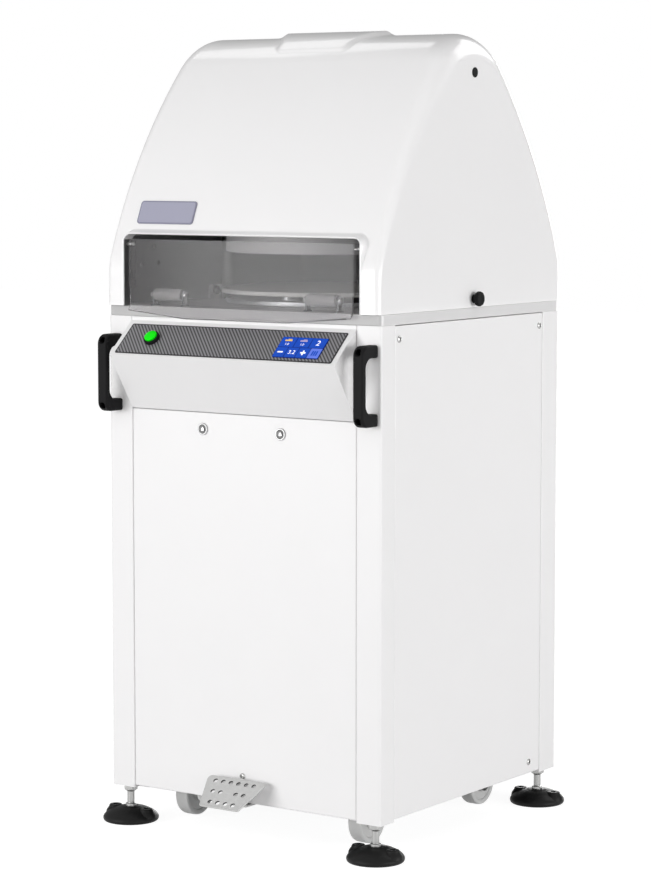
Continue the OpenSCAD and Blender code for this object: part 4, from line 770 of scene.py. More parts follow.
def windowPath():  # points round the window from foot to foot, each with its way outwards
    h = hoodSizes
    half, r, top = h["windowHalf"], h["windowR"], h["windowTop"]

    def corner(side, start, end):
        turns = np.linspace(start, end, hoodSteps["corner"])
        return [((side * (half - r) + r * math.cos(a), top - r + r * math.sin(a)),
                 (math.cos(a), math.sin(a)))
                for a in turns]

    heights = list(np.linspace(h["base"], top - r, hoodSteps["jamb"]))[:-1]
    path = [((-half, z), (-1.0, 0.0)) for z in heights]
    path += corner(-1, math.pi, math.pi / 2)
    path += [((x, top), (0.0, 1.0)) for x in np.linspace(r - half, half - r, hoodSteps["head"])[1:-1]]
    path += corner(1, math.pi / 2, 0)
    path += [((half, z), (1.0, 0.0)) for z in reversed(heights)]
    return path


def rimSection(z, nz, frontAt):  # (way out, y) over jamb, rounded edge, flat rim and flare on to the shell
    h = hoodSizes
    faceY = -h["halfDeep"] - h["rimOut"] + h["rimLean"] * nz
    depth = frontAt(z + h["rimProbe"] * nz) - faceY
    reach = h["rimFlat"] + h["rimFoot"] + h["rimEase"] * depth
    section = [(0.0, faceY + h["rimDeep"]), (0.0, faceY + h["jambDeep"])]
    section += [(h["rimRound"] * (1 - math.cos(a)), faceY + h["rimRound"] * (1 - math.sin(a)))
                for a in np.linspace(0, math.pi / 2, hoodSteps["rimArc"])]
    section.append((h["rimFlat"], faceY))
    endY = frontAt(z + nz * reach)
    for t in np.linspace(0, 1, hoodSteps["flare"])[1:]:
        climb = float(smoothStep(t)) ** h["rimPower"]
        section.append((h["rimFlat"] + t * (reach - h["rimFlat"]), faceY + (endY - faceY) * climb))
    return section, reach


def insideLoop(loop, x, y):  # even or odd crossings
    odd = False
    for (x0, y0), (x1, y1) in zip(loop, np.roll(loop, -1, axis=0)):
        if (y0 > y) != (y1 > y) and x < (x1 - x0) * (y - y0) / (y1 - y0) + x0:
            odd = not odd
    return odd


def fillFront(points, rows, lengths, shellLine, rimLine):  # lines of (point, x, way along the profile)
    pins = shellLine + rimLine
    loop = list(range(len(shellLine))) + list(range(len(pins) - 1, len(shellLine) - 1, -1))
    edges = [(loop[k], loop[(k + 1) % len(loop)]) for k in range(len(loop))]
    hole = np.array([(x, s) for v, x, s in rimLine])
    for row, s in zip(rows, lengths):
        for x in hoodColumns:
            near = np.min(np.hypot(hole[:, 0] - x, hole[:, 1] - s))
            if near > hoodSizes["gridGap"] and not insideLoop(hole, x, s):
                pins.append((putOnShell(points, x, row, -padLift(x, row[0])), x, s))
    flat = [Vector((x, s)) for v, x, s in pins]
    spots, lines, triangles, sources = delaunay_2d_cdt(flat, edges, [], 0, 0.0001)[:4]
    faces = []
    for triangle in triangles:
        middle = [sum(spots[v][axis] for v in triangle) / 3 for axis in (0, 1)]
        ids = [pins[sources[v][0]][0] for v in triangle if sources[v]]
        if len(ids) == 3 and not insideLoop(hole, *middle):
            faces.append(tuple(ids))
    return faces


def hoodMesh():
    h = hoodSizes
    rows, ridge = hoodRows()
    steps = [math.hypot(b[0] - a[0], b[1] - a[1]) for a, b in zip(rows, rows[1:])]
    lengths = np.concatenate([[0.0], np.cumsum(steps)])
    frontTop = next(i for i, row in enumerate(rows) if row[1] > h["windowTop"] + h["windowClear"])
    bend = [math.pi / 2 * k / hoodSteps["edge"] for k in range(hoodSteps["edge"] + 1)]
    points, faces, left, right, middle = [], [], [], [], []
    for i, row in enumerate(rows):
        climb = max(0.0, (row[1] - h["base"]) / (ridge - h["base"]))
        r = h["edgeLow"] + (h["edgeHigh"] - h["edgeLow"]) * climb ** h["edgePower"]
        for side, ends in ((-1, left), (1, right)):
            ends.append([putOnShell(points, side * (h["halfWide"] - r * (1 - math.cos(a))), row,
                                    r * (1 - math.sin(a))) for a in bend])
        across = hoodColumns if i >= frontTop else []
        middle.append([putOnShell(points, x, row, -padLift(x, row[0])) for x in across])
    for i in range(len(rows) - 1):
        faces += band(left[i], left[i + 1])
        faces += band(right[i], right[i + 1], flip=True)
        if i >= frontTop:
            line, nextLine = ([left[j][-1]] + middle[j] + [right[j][-1]] for j in (i, i + 1))
            faces += band(line, nextLine)
    faces.append(tuple(line[0] for line in left))
    faces.append(tuple(line[0] for line in reversed(right)))
    front = rows[:frontTop + hoodSteps["spare"]]
    frontZ = [row[1] for row in front]

    def frontAt(z):
        return float(np.interp(z, frontZ, [row[0] for row in front]))

    rings, rimLine = [], []
    for (x, z), (nx, nz) in windowPath():
        section, reach = rimSection(z, nz, frontAt)
        rings.append([len(points) + k for k in range(len(section))])
        points += [(x + nx * d, y, z + nz * d) for d, y in section]
        climb = float(np.interp(z + nz * reach, frontZ, lengths[:len(front)]))
        rimLine.append((rings[-1][-1], x + nx * reach, climb))
    for a, b in zip(rings, rings[1:]):
        faces += band(a, b)
    up = [(left[i][-1], points[left[i][-1]][0], lengths[i]) for i in range(frontTop + 1)]
    over = [(v, x, lengths[frontTop]) for v, x in zip(middle[frontTop], hoodColumns)]
    down = [(right[i][-1], points[right[i][-1]][0], lengths[i]) for i in range(frontTop, -1, -1)]
    faces += fillFront(points, rows[1:frontTop], lengths[1:frontTop], up + over + down, rimLine)
    return meshPiece("hood_moulding", points, faces)


def buildHood():
    h = hoodSizes
    piece = hoodMesh()
    mend(piece)
    top = max(piece.data.polygons, key=lambda face: face.center.z)
    if top.normal.z < 0:
        piece.data.flip_normals()
    rimY = -h["halfDeep"] - h["rimOut"]
    for face in piece.data.polygons:  # painted shade on the inner faces of the window's left side
        x, y, z = face.center / metre
        onJamb = abs(x + h["windowHalf"]) < 0.5 and abs(face.normal.x) > 0.9 and z < h["windowTop"]
        if onJamb and rimY + h["rimRound"] < y < rimY + h["rimDeep"]:
            face.material_index = 2
    # the shell's inside faces take the darkened inside finish, painted shade
    paint(piece, "hoodWhite", "hoodInside", "jambGrey")
    thicken(piece, h["wall"], 1)
    smoothFaces(piece, 38.0, flats=True)
    settle(piece)
    mount(piece, "hood", "hood_white", "hood_shell")


buildHood()
print("hood moulded")

# guard: bent smoked sheet with a bowed lip, side flanges and a round bend between them
guardSizes = {"half": 250.0, "front": -308.0, "top": 1083.5, "bendZ": 966.0, "wall": 4.0, "bendR": 9.0,
              "lip": 26.0, "lipAngle": 35.0, "rise": 12.0, "flat": 0.45, "flangeDeep": 20.0,
              "flangeLow": 990.0, "foldR": 5.0, "inset": 14.0, "lipEdge": 1.0}
guardSteps = {"pane": 14, "bend": 6, "lip": 4, "across": 41, "fold": 6, "flange": 4}


def buildGuard():
    g, n = guardSizes, guardSteps
    lean = math.radians(g["lipAngle"])
    run = g["bendR"] * math.tan(lean / 2)
    bendY = g["front"] - g["bendR"]
    down = [(g["front"], float(z)) for z in np.linspace(g["top"], g["bendZ"] + run, n["pane"])]
    for k in range(1, n["bend"] + 1):
        a = lean * k / n["bend"]
        down.append((bendY + g["bendR"] * math.cos(a), g["bendZ"] + run - g["bendR"] * math.sin(a)))
    startY, startZ = down[-1]
    lowZ = g["bendZ"] - g["lip"] * math.cos(lean)
    edge, last, flatHalf = g["half"] - g["foldR"], g["half"] - g["inset"], g["flat"] * g["half"]
    across = [-edge] + [float(x) for x in np.linspace(-last, last, n["across"])] + [edge]
    fold = [(edge + g["foldR"] * math.sin(a), g["front"] + g["foldR"] * (1 - math.cos(a)))
            for a in np.linspace(0, math.pi / 2, n["fold"])][1:]
    fold += [(g["half"], g["front"] + d) for d in np.linspace(g["foldR"], g["flangeDeep"], n["flange"])[1:]]
    points, faces, columns = [], [], []

    def put(line):
        points.extend(line)
        return list(range(len(points) - len(line), len(points)))

    for x in across:
        over = max(0.0, abs(x) - flatHalf) / (g["half"] - flatHalf)
        drop = lowZ + g["rise"] * over - startZ
        lipZ = [startZ + drop * (k + 1) / n["lip"] for k in range(n["lip"])]
        lip = [(startY - (startZ - z) * math.tan(lean), z) for z in lipZ]
        columns.append(put([(x, y, z) for y, z in down + lip]))
    for a, b in zip(columns, columns[1:]):
        faces += band(a, b, flip=True)
    for side, column in ((-1, columns[0]), (1, columns[-1])):
        rows = [[v] + put([(side * x, y, z) for x, y in fold])
                for v, (_, z) in zip(column, down) if z >= g["flangeLow"]]
        for a, b in zip(rows, rows[1:]):
            faces += band(a, b)
    piece = meshPiece("guard_pane", points, faces)
    mend(piece)
    middle = (g["top"] + g["bendZ"]) / 2 * metre
    front = min(piece.data.polygons, key=lambda face: abs(face.center.x) + abs(face.center.z - middle))
    if front.normal.y > 0:
        piece.data.flip_normals()
    thicken(piece, g["wall"])
    smoothFaces(piece, 50.0)
    settle(piece)
    # the lip takes the paler copy of the sheet, painted reflection
    for face in piece.data.polygons:
        face.material_index = 1 if face.center.z < (g["bendZ"] - g["lipEdge"]) * metre else 0
    paint(piece, "smokedPane", "smokedLip")
    mount(piece, "guard", "smoked_clear", "guard_window")


buildGuard()
print("guard bent")

# cabinet: folded posts, tray panels, table band
postSizes = {"wide": 52.0, "front": 44.0, "rear": 56.0, "fold": 13.3, "ledge": 22.0, "sheet": 2.0,
             "corner": 4.0, "bend": 2.4, "ease": 1.0, "plateIn": 1.0, "plate": 5.5}
panelSizes = {"fold": 12.0, "sheet": 1.5, "bend": 2.2, "lift": 1.7, "drop": 0.6}


def foldedSection(path, radii, sheet):  # closed outline of a bent sheet, thickness to the right of the path
    outer = [Vector(p) for p in roundedPath(path, radii, 5, closed=False)]
    inner = []
    for i, here in enumerate(outer):
        before = outer[max(0, i - 1)]
        after = outer[min(len(outer) - 1, i + 1)]
        along = (after - before).normalized()
        inner.append(here + Vector((along.y, -along.x)) * sheet)
    return [(p.x, p.y) for p in outer + inner[::-1]]


def buildPosts():
    p, half = postSizes, cabinetSizes["half"]
    for corner, (sx, sy) in cornerSigns.items():
        node = "corner_post_" + corner
        side = p["front"] if sy < 0 else p["rear"]
        path = [(p["wide"] + p["ledge"], p["fold"]), (p["wide"], p["fold"]), (p["wide"], 0), (0, 0),
                (0, side), (p["fold"], side), (p["fold"], side + p["ledge"])]
        radii = [0, p["ease"], p["bend"], p["corner"], p["bend"], p["ease"], 0]
        inset = p["plateIn"]
        plate = rectangle(inset, inset, p["wide"] - inset, side - inset)
        low, high = boxOf(node)
        parts = []
        for outline, top in ((foldedSection(path, radii, p["sheet"]), high[2]),
                             (roundedPath(plate, [p["corner"]] + [p["ease"]] * 3, 4), low[2] + p["plate"])):
            turned = [(sx * (half - u), sy * (half - v)) for u, v in outline]
            parts.append(prism("post", turned, low[2], top))
        piece = joined(node + "_folded", parts)
        edgeBand(piece)
        smoothFaces(piece, 30.0, flats=True)
        settle(piece)
        paint(piece, "whitePaint")
        mount(piece, "cabinet", "white_paint", node)


def trayPanel(name, width, height, place):  # outer face on XY at Z 0, folds behind it
    s = panelSizes
    outline = rectangle(-width / 2, -height / 2, width / 2, height / 2)
    points = [(x, y, z) for z in (0, -s["fold"]) for x, y in outline]
    faces = [(0, 1, 2, 3), (4, 5, 1, 0), (5, 6, 2, 1), (6, 7, 3, 2), (7, 4, 0, 3)]
    piece = meshPiece(name, points, faces)
    with reworked(piece) as work:
        folds = [edge for edge in work.edges if len(edge.link_faces) == 2]
        bmesh.ops.bevel(work, geom=folds, offset=s["bend"] * metre, segments=4, profile=0.5, affect="EDGES")
    thicken(piece, s["sheet"])
    edgeBand(piece)
    smoothFaces(piece, 50.0, flats=True)
    settle(piece)
    return placed(piece, place)


def buildPanels():
    for node, turn in (("front_panel", 0), ("right_panel", 90), ("rear_panel", 180), ("left_panel", 270)):
        low, high = boxOf(node)
        high[2] += -panelSizes["drop"] if node == "front_panel" else panelSizes["lift"]
        wide = (high[0] - low[0]) if turn % 180 == 0 else (high[1] - low[1])
        middle = [(a + b) / 2 for a, b in zip(low, high)]
        faces = {0: (middle[0], low[1]), 90: (high[0], middle[1]), 180: (middle[0], high[1]),
                 270: (low[0], middle[1])}
        place = shift(*faces[turn], middle[2]) @ spin(turn, "Z") @ spin(90, "X")
        piece = trayPanel(node + "_folded", wide, high[2] - low[2], place)
        if node == "rear_panel":
            addLouvres(piece)
        else:
            paint(piece, "whitePaint")
        mount(piece, "cabinet", "white_paint", node)


louvreSizes = {"bankX": 123.7, "top": 783.0, "pitch": 18.0, "count": 9, "long": 165.0, "slot": 6.0,
               "proud": 5.0, "high": 11.0, "end": 8.0, "sheet": 1.0, "lift": 0.05, "drop": 3.0,
               "cut": 8.0, "shorter": 6.0, "columns": 15, "rows": 5}


def louvreShape():  # a pressed gill, open below
    s = louvreSizes
    points, columns = [], []
    for x in np.linspace(-s["long"] / 2, s["long"] / 2, s["columns"]):
        bulge = math.sin(math.pi / 2 * min(1.0, (s["long"] / 2 - abs(x)) / s["end"]))
        columns.append([len(points) + k for k in range(s["rows"])])
        for k in range(s["rows"]):
            a = math.pi / 2 * k / (s["rows"] - 1)
            points.append((x, s["proud"] * bulge * math.sin(a) + s["lift"],
                           s["high"] * math.cos(a) - s["drop"]))
    faces = [face for a, b in zip(columns, columns[1:]) for face in band(a, b, flip=True)]
    gill = meshPiece("gill", points, faces)
    mend(gill)
    if sum(face.normal.y for face in gill.data.polygons) < 0:
        gill.data.flip_normals()
    thicken(gill, s["sheet"])
    smoothFaces(gill, 60.0)
    return gill


def louvreTree():  # cuts a row of slots through a panel and adds a gill over each
    inputs = {"Places": "Object", "Gill": "Object", "Slot Size": "Vector", "Finish": "Material"}
    tree, start = groupTree("louvreBanks", inputs)
    places = shapeFrom(tree, start, "Places")
    cutter = newNode(tree, "GeometryNodeMeshCube")
    tree.links.new(start.outputs["Slot Size"], cutter.inputs["Size"])
    cuts = copiesOn(tree, places, cutter.outputs["Mesh"])
    gills = copiesOn(tree, places, shapeFrom(tree, start, "Gill"))
    both = newNode(tree, "GeometryNodeJoinGeometry")
    tree.links.new(gills.outputs[0], both.inputs[0])
    tree.links.new(cutOut(tree, start.outputs["Geometry"], cuts), both.inputs[0])
    return endTree(tree, start, both.outputs[0])


def addLouvres(panel):
    s = louvreSizes
    spots = [(bank * s["bankX"], cabinetSizes["face"], s["top"] - i * s["pitch"], (0, 0, 0))
             for bank in (-1, 1) for i in range(s["count"])]
    places = pointMesh("louvrePlaces", spots)
    gill = louvreShape()
    slot = ((s["long"] - s["shorter"]) * metre, s["cut"] * metre, s["slot"] * metre)
    applyTree(panel, louvreTree(), {"Places": places, "Gill": gill, "Slot Size": slot,
                                    "Finish": finishes["whitePaint"]})
    discard(places, gill)


buildPosts()
buildPanels()

# CAD solids with eased edges: node, body, slot, edge, finish and a second finish on some faces
dressedSolids = [
    ("table_plate", "cabinet", "table_grey", 1.2, "tableGrey", "tableFront"),
    ("console_housing", "cabinet", "white_paint", 1.6, "whitePaint"),
    ("castor_forks", "cabinet", "steel", 0.6, "brushedSteel"),
    ("pedal_bracket", "cabinet", "steel", 0.6, "brushedSteel"),
    ("roller_brackets", "cabinet", "steel", 0.6, "frameGrey", "chrome"),
    ("roller_left", "load_roller_left", "steel", 0.8, "rollerNylon"),
    ("roller_right", "load_roller_right", "steel", 0.8, "rollerNylon"),
    ("press_head", "press", "cast_alloy", 1.0, "matteAlloy"),
    ("table_hinges", "cabinet", "steel", 0.5, "brushedSteel"),
    ("hood_hinges", "hood", "steel", 0.5, "brushedSteel"),
    ("moulding_plate", "orbit", "plate_white", 1.5, "plateWhite"),
    ("crosshead", "cabinet", "frame_grey", 2.0, "frameGrey"),
    ("press_cylinder", "cabinet", "frame_grey", 2.0, "frameGrey"),
    ("orbit_table", "orbit", "cast_alloy", 1.0, "castAlloy"),
    ("cable_gland", "cabinet", "black_plastic", 0.6, "blackPlastic"),
    ("base_tray", "cabinet", "frame_grey", 0.6, "frameGrey"),
    ("guide_columns", "cabinet", "steel", 0.6, "shadedSteel"),
]
rollerBolts = {"middle": 169.5, "reach": 34.4, "above": 976.0}  # bolt heads at the brackets' ends


def secondFace(node, face):
    # the table's front face takes the darker copy of its grey, painted shade
    if node == "table_plate":
        return face.normal.y < -0.7
    if node == "roller_brackets":
        outside = abs(abs(face.center.x / metre) - rollerBolts["middle"]) > rollerBolts["reach"]
        return outside and face.center.z / metre > rollerBolts["above"]
    return False


def dressSolids():
    for node, body, slot, width, *looks in dressedSolids:
        piece = softCopy(node, width)
        for face in piece.data.polygons:
            face.material_index = 1 if secondFace(node, face) else 0
        paint(piece, *looks)
        mount(piece, body, slot, node)


dressSolids()
print("cabinet folded")

# console front: twill fascia, lit screen, start button
slopeSizes = {"nose": (-366.0, 877.0), "angle": 41.79, "half": 237.4, "low": 4.5, "high": 78.5, "film": 1.2,
              "cornerR": 3.0, "border": 2.2, "weaveR": 2.0, "sunk": 0.15, "weave": 0.3, "stripePitch": 7.3,
              "stripeLean": 0.93, "stripeUnit": 100.0}
screenSizes = {"at": (158.0, 36.5), "wide": 97.0, "high": 49.0, "rise": 2.0, "gap": 1.5, "cornerR": 2.0,
               "keys": (0.6, 0.2), "signs": (0.3, 0.05), "bars": (0.3, 0.08), "arm": (11.0, 3.0),
               "barPitch": 4.4}
buttonSizes = {"at": (-171.6, 41.5), "capD": 24.0, "capLow": 6.0, "rim": 4.2, "crown": 1.5, "foot": 0.4,
               "ease": 1.2, "tip": 0.01, "collarD": 30.0, "collarH": 6.5, "collarEase": (1.6, 2.2),
               "lip": (2.4, 2.8, 0.6), "deep": 4.5}


def onSlope(x=0.0, y=0.0, z=0.0):
    s = slopeSizes
    return shift(0, *s["nose"]) @ spin(s["angle"], "X") @ shift(x, y, z)


def buildFascia():
    s = slopeSizes
    parts = []
    for inset, r, low, high in ((0.0, s["cornerR"], 0, s["film"] - s["sunk"]),
                                (s["border"], s["weaveR"], s["film"] - s["weave"], s["film"])):
        outline = rectangle(inset - s["half"], s["low"] + inset, s["half"] - inset, s["high"] - inset)
        part = prism("film", roundedPath(outline, r, 4), low, high)
        markFaces(part, len(parts))
        parts.append(part)
    piece = joined("console_film", parts)
    layer = piece.data.uv_layers.new(name="weave")
    for loop in piece.data.loops:
        p = piece.data.vertices[loop.vertex_index].co / metre
        layer.data[loop.index].uv = ((p.x + s["stripeLean"] * p.y) / s["stripePitch"],
                                     p.y / s["stripeUnit"])
    paint(piece, "darkInsert", "twillFascia")
    placed(piece, onSlope())
    mount(piece, "cabinet", "fascia_dark", "console_fascia")


def flatText(words, size, x, y, z):
    data = bpy.data.curves.new("digits", "FONT")
    data.body = words
    data.size = size * metre
    data.align_x = "CENTER"
    data.align_y = "CENTER"
    data.extrude = 0.1 * metre
    text = linked("digits", data)
    mesh = bpy.data.meshes.new_from_object(text.evaluated_get(bpy.context.evaluated_depsgraph_get()))
    bpy.data.objects.remove(text)
    bpy.data.curves.remove(data)
    return placed(linked("digits", mesh), shift(x, y, z))


def tile(x, y, w, h, low, high, r=1.0):
    outline = rectangle(x - w / 2, y - h / 2, x + w / 2, y + h / 2)
    return prism("tile", roundedPath(outline, r, 3), low, high)


def buildScreen():
    s = screenSizes
    w, h, top = s["wide"], s["high"], s["rise"]
    rowTop, rowLow = h / 4, -h / 4
    looks = ["screenDeep", "screenBlue", "screenPale", "screenWhite", "screenYellow", "screenPink"]
    parts = []

    def add(piece, look):
        markFaces(piece, looks.index(look))
        parts.append(piece)

    def layer(kind):  # low and high, measured down from the screen's top
        return [top - deep for deep in s[kind]]

    def key(x, y, wide, look):
        add(tile(x, y, wide - s["gap"], h / 2 - s["gap"], *layer("keys")), look)

    def sign(x, y, wide, high, r, look):
        add(tile(x, y, wide, high, *layer("signs"), r), look)

    def words(text, size, x, y):
        add(flatText(text, size, x, y, top - s["keys"][1]), "screenWhite")

    add(tile(0, 0, w, h, -1.5, top - 0.5, s["cornerR"]), "screenDeep")
    for x in (-w / 3, 0, w / 3):
        key(x, rowTop, w / 3, "screenBlue")
    for k in range(4):
        key(-w / 2 + w / 8 + k * w / 4, rowLow, w / 4, "screenPale" if k == 3 else "screenBlue")
    for x, look in ((-w / 3, "screenYellow"), (0, "screenPink")):  # level pictograms
        sign(x, rowTop + 3.6, 15, 3.2, 0.5, look)
        sign(x + 2, rowTop + 6.4, 8, 1.4, 0.4, look)
        words("1.0", 7.0, x, rowTop - 5.2)
    words("2", 17.0, w / 3, rowTop - 0.5)
    words("3.2", 12.5, -w / 8, rowLow)
    long, thin = s["arm"]
    sign(-w / 2 + w / 8, rowLow, long, thin, 0.3, "screenWhite")  # less
    sign(w / 8, rowLow, long, thin, 0.3, "screenWhite")  # more
    sign(w / 8, rowLow, thin, long, 0.3, "screenWhite")
    for k in (-1, 0, 1):
        add(tile(w / 2 - w / 8 + k * s["barPitch"], rowLow, thin, long, *layer("bars"), 0.4), "screenBlue")
    piece = joined("screen_face", parts)
    paint(piece, *looks)
    placed(piece, onSlope(*s["at"], slopeSizes["film"]))
    mount(piece, "cabinet", "screen_blue", "touch_screen")


def buildButton():
    b = buttonSizes
    r, low, rim = b["capD"] / 2, b["capLow"], b["capLow"] + b["rim"]
    cap = [(b["tip"], low), (r - b["foot"], low), (r, low + b["foot"])]  # travels clear of the ring's floor
    cap += [(r, rim - b["ease"])] + arcProfile(r, rim - b["ease"], r - b["ease"], rim)[1:]
    cap += [(r * (1 - t), rim + b["crown"] * (1 - (1 - t) ** 2)) for t in (0.25, 0.45, 0.65, 0.85, 1.0)]
    r, top = b["collarD"] / 2, b["collarH"]
    inward, downward = b["collarEase"]
    ring = [(r, 0.0), (r, top - downward)] + arcProfile(r, top - downward, r - inward, top)[1:]
    lipIn, bore, lipDown = b["lip"]
    ring += [(r - lipIn, top), (r - bore, top - lipDown), (r - bore, top - b["deep"]),
             (0.0, top - b["deep"])]
    for name, profile, look, body, slot, node in (
            ("button_cap", cap, "greenCap", "button", "button_green", "start_button"),
            ("button_ring", ring, "blackPlastic", "cabinet", "black_plastic", "button_collar")):
        piece = lathe(name, profile, 48)
        smoothFaces(piece, 45.0)
        paint(piece, look)
        placed(piece, onSlope(*b["at"], slopeSizes["film"]))
        mount(piece, body, slot, node)


buildFascia()
buildScreen()
buildButton()
print("console dressed")

# bridge handles, moulded with soft edges and sunk screws
handleSizes = {"x": 281.5, "wide": 22.0, "out": 46.0, "low": 769.5, "high": 910.5, "grip": 12.0,
               "leg": 22.0, "round": 18.0, "inside": 18.0, "ease": 4.2, "screwIn": 11.0, "sinkD": 12.4,
               "sink": 16.0, "spare": 6.0, "toolSpare": 20.0}


def cutBy(piece, cutters):
    for cutter in cutters:
        cut = piece.modifiers.new("cut", "BOOLEAN")
        cut.operation = "DIFFERENCE"
        cut.solver = "EXACT"
        cut.object = cutter
    settle(piece)
    discard(*cutters)


def trimmed(piece, point, normal):  # cut off by a plane and closed again
    with reworked(piece) as work:
        everything = work.verts[:] + work.edges[:] + work.faces[:]
        made = bmesh.ops.bisect_plane(work, geom=everything, plane_co=point, plane_no=normal,
                                      clear_outer=True)
        bmesh.ops.holes_fill(work, edges=[e for e in made["geom_cut"] if isinstance(e, bmesh.types.BMEdge)])


def buildHandles():
    s = handleSizes
    z0, z1, out, deep, inner = s["low"], s["high"], s["out"], s["spare"], s["grip"] - s["out"]
    foot, head = z0 + s["leg"], z1 - s["leg"]
    corners = [(deep, z0), (deep, foot), (inner, foot), (inner, head), (deep, head), (deep, z1), (-out, z1),
               (-out, z0)]
    radii = [0, 0, s["inside"], s["inside"], 0, 0, s["round"], s["round"]]
    wall = -cabinetSizes["half"]
    for node, side in (("handle_left", -1), ("handle_right", 1)):
        piece = prism(node + "_moulded", roundedPath(corners, radii, 8), -s["wide"] / 2, s["wide"] / 2)
        uprightProfile(piece)
        placed(piece, shift(side * s["x"], wall, 0))
        mend(piece)
        roundEdges(piece, s["ease"], 4, 50.0)
        trimmed(piece, (0, wall * metre, 0), (0, 1, 0))
        cutters = []
        for z in (z0 + s["screwIn"], z1 - s["screwIn"]):
            r = s["sinkD"] / 2
            tool = lathe("sinkTool", [(r, 0.0), (r, s["sink"] + s["toolSpare"])], 32)
            cutters.append(placed(tool, shift(side * s["x"], wall - out + s["sink"], z) @ spin(90, "X")))
        cutBy(piece, cutters)
        smoothFaces(piece, 40.0, flats=True)
        settle(piece)
        paint(piece, "blackPlastic")
        mount(piece, "cabinet", "black_plastic", node)


buildHandles()
print("handles moulded")

# feet: domed rubber pads with two bolt bosses, threaded stems with collar and nut
footSizes = {"x": 275.0, "y": 278.0, "bossAt": 36.4, "bossR": 12.0, "bossTop": 25.0, "bossLow": 8.0,
             "bossEase": 2.2, "stemR": 7.0, "stemLow": 14.0, "stemTop": 94.0, "collarR": 9.8,
             "collar": (26.0, 31.5), "ease": 0.6, "nut": (58.0, 67.5), "nutR": 13.6, "nutTurn": 15.0,
             "nutEase": 0.9, "cone": 4.0, "coneIn": 1.8, "pitch": 1.75, "root": 0.75, "crest": 0.05,
             "threadLow": 2.0, "threadEnd": 3.0}
padCurve = [(0.0, 26.0), (17.2, 26.0), (18.2, 25.4), (20.5, 24.9), (26.0, 23.8), (30.0, 22.5),
            (34.3, 20.8), (40.0, 17.9), (45.2, 14.8), (48.5, 12.0), (50.6, 9.4), (51.7, 7.2), (52.0, 5.4),
            (51.7, 3.2), (50.8, 1.2), (49.4, 0.0), (0.0, 0.0)]  # radius, height


def padShape():
    f = footSizes
    r, top, ease = f["bossR"], f["bossTop"], f["bossEase"]
    boss = [(0.0, f["bossLow"]), (r + 6.5, f["bossLow"]), (r + 5.4, 14.0), (r + 3.0, 17.5), (r + 1.2, 20.0)]
    boss += [(r, top - ease)] + arcProfile(r, top - ease, r - ease, top - 0.2)[1:]
    boss += [(5.4, top), (4.9, top - 0.5), (4.6, top - 3.5), (0.0, top - 3.8)]
    parts = [lathe("dome", padCurve, 72)]
    for side in (-1, 1):
        parts.append(placed(lathe("boss", boss, 32), shift(side * f["bossAt"], 0, 0)))
    pad = joined("padShape", parts)
    smoothFaces(pad, 50.0)
    return pad


def stemShape():
    f = footSizes
    r, top, ease = f["stemR"], f["stemTop"], f["ease"]
    collarR, (collarLow, collarTop) = f["collarR"], f["collar"]
    profile = [(0.0, f["stemLow"]), (r, f["stemLow"]), (r, collarLow), (collarR - ease, collarLow),
               (collarR, collarLow + ease), (collarR, collarTop - ease), (collarR - ease, collarTop),
               (r - 0.3, collarTop)]
    z = collarTop + f["threadLow"]
    while z < top - f["threadEnd"]:
        profile += [(r - f["root"], z), (r - f["crest"], z + f["pitch"] / 2),
                    (r - f["root"], z + f["pitch"])]
        z += f["pitch"]
    profile += [(r - 0.9, top - 1.0), (r - 1.6, top), (0.0, top)]
    stem = lathe("stem", profile, 28)
    turns = [60 * k + f["nutTurn"] for k in range(6)]
    nut = prism("nut", [(f["nutR"] * cosD(a), f["nutR"] * sinD(a)) for a in turns], *f["nut"])
    roundEdges(nut, f["nutEase"])
    low, wide = f["nut"][0], f["nutR"] - f["coneIn"]
    cone = lathe("cone", [(r - 0.5, low - f["cone"]), (r + 0.4, low - f["cone"]), (wide, low - 0.4),
                          (wide, low + 0.5), (r - 0.5, low + 0.5)], 40)
    shape = joined("stemShape", [stem, nut, cone])
    smoothFaces(shape, 40.0)
    return shape


def buildFeet():
    f = footSizes
    places = [(sx * f["x"], sy * f["y"], 0.0, (0, 0, 0)) for sx in (-1, 1) for sy in (-1, 1)]
    for name, shape, look, slot, node in (
            ("foot_pads_moulded", padShape(), "padRubber", "pad_rubber", "foot_pads"),
            ("foot_stems_turned", stemShape(), "screwSteel", "steel", "foot_stems")):
        piece = scattered(name, shape, places, look)
        mount(piece, "cabinet", slot, node)
        discard(shape)


buildFeet()

# castor wheels: grey tread, shallow dish and hub
wheelSizes = {"x": 195.0, "y": 187.0, "z": 46.0, "r": 42.0, "wide": 30.0, "hubR": 14.0, "boreR": 4.1,
              "steps": 64}


def buildWheels():
    w = wheelSizes
    half, r, hub = w["wide"] / 2, w["r"], w["hubR"]
    side = [(w["boreR"], half - 1.0), (hub - 1, half - 1.0), (hub, half - 2.0), (hub + 1.5, half - 4.5),
            (r - 10.5, half - 4.5), (r - 9.0, half - 2.2), (r - 7.5, half - 1.6), (r - 3.0, half - 1.0),
            (r - 1.0, half - 2.4), (r - 0.2, half - 5.0), (r, half - 9.0)]
    profile = side + [(a, -b) for a, b in reversed(side)]
    points, rings = [], []
    for k in range(w["steps"]):
        a = 2 * math.pi * k / w["steps"]
        ring = [len(points) + i for i in range(len(profile))]
        points += [(z, p * math.cos(a), p * math.sin(a)) for p, z in profile]
        rings.append(ring + ring[:1])
    faces = [face for a, b in zip(rings, rings[1:] + rings[:1]) for face in band(a, b, flip=True)]
    for corner, (sx, sy) in cornerSigns.items():
        piece = meshPiece("wheel_" + corner + "_turned", points, faces)
        mend(piece)
        smoothFaces(piece, 35.0)
        placed(piece, shift(sx * w["x"], sy * w["y"], w["z"]))
        paint(piece, "wheelGrey")
        mount(piece, "castor_" + corner, "wheel_grey", "wheel_" + corner)


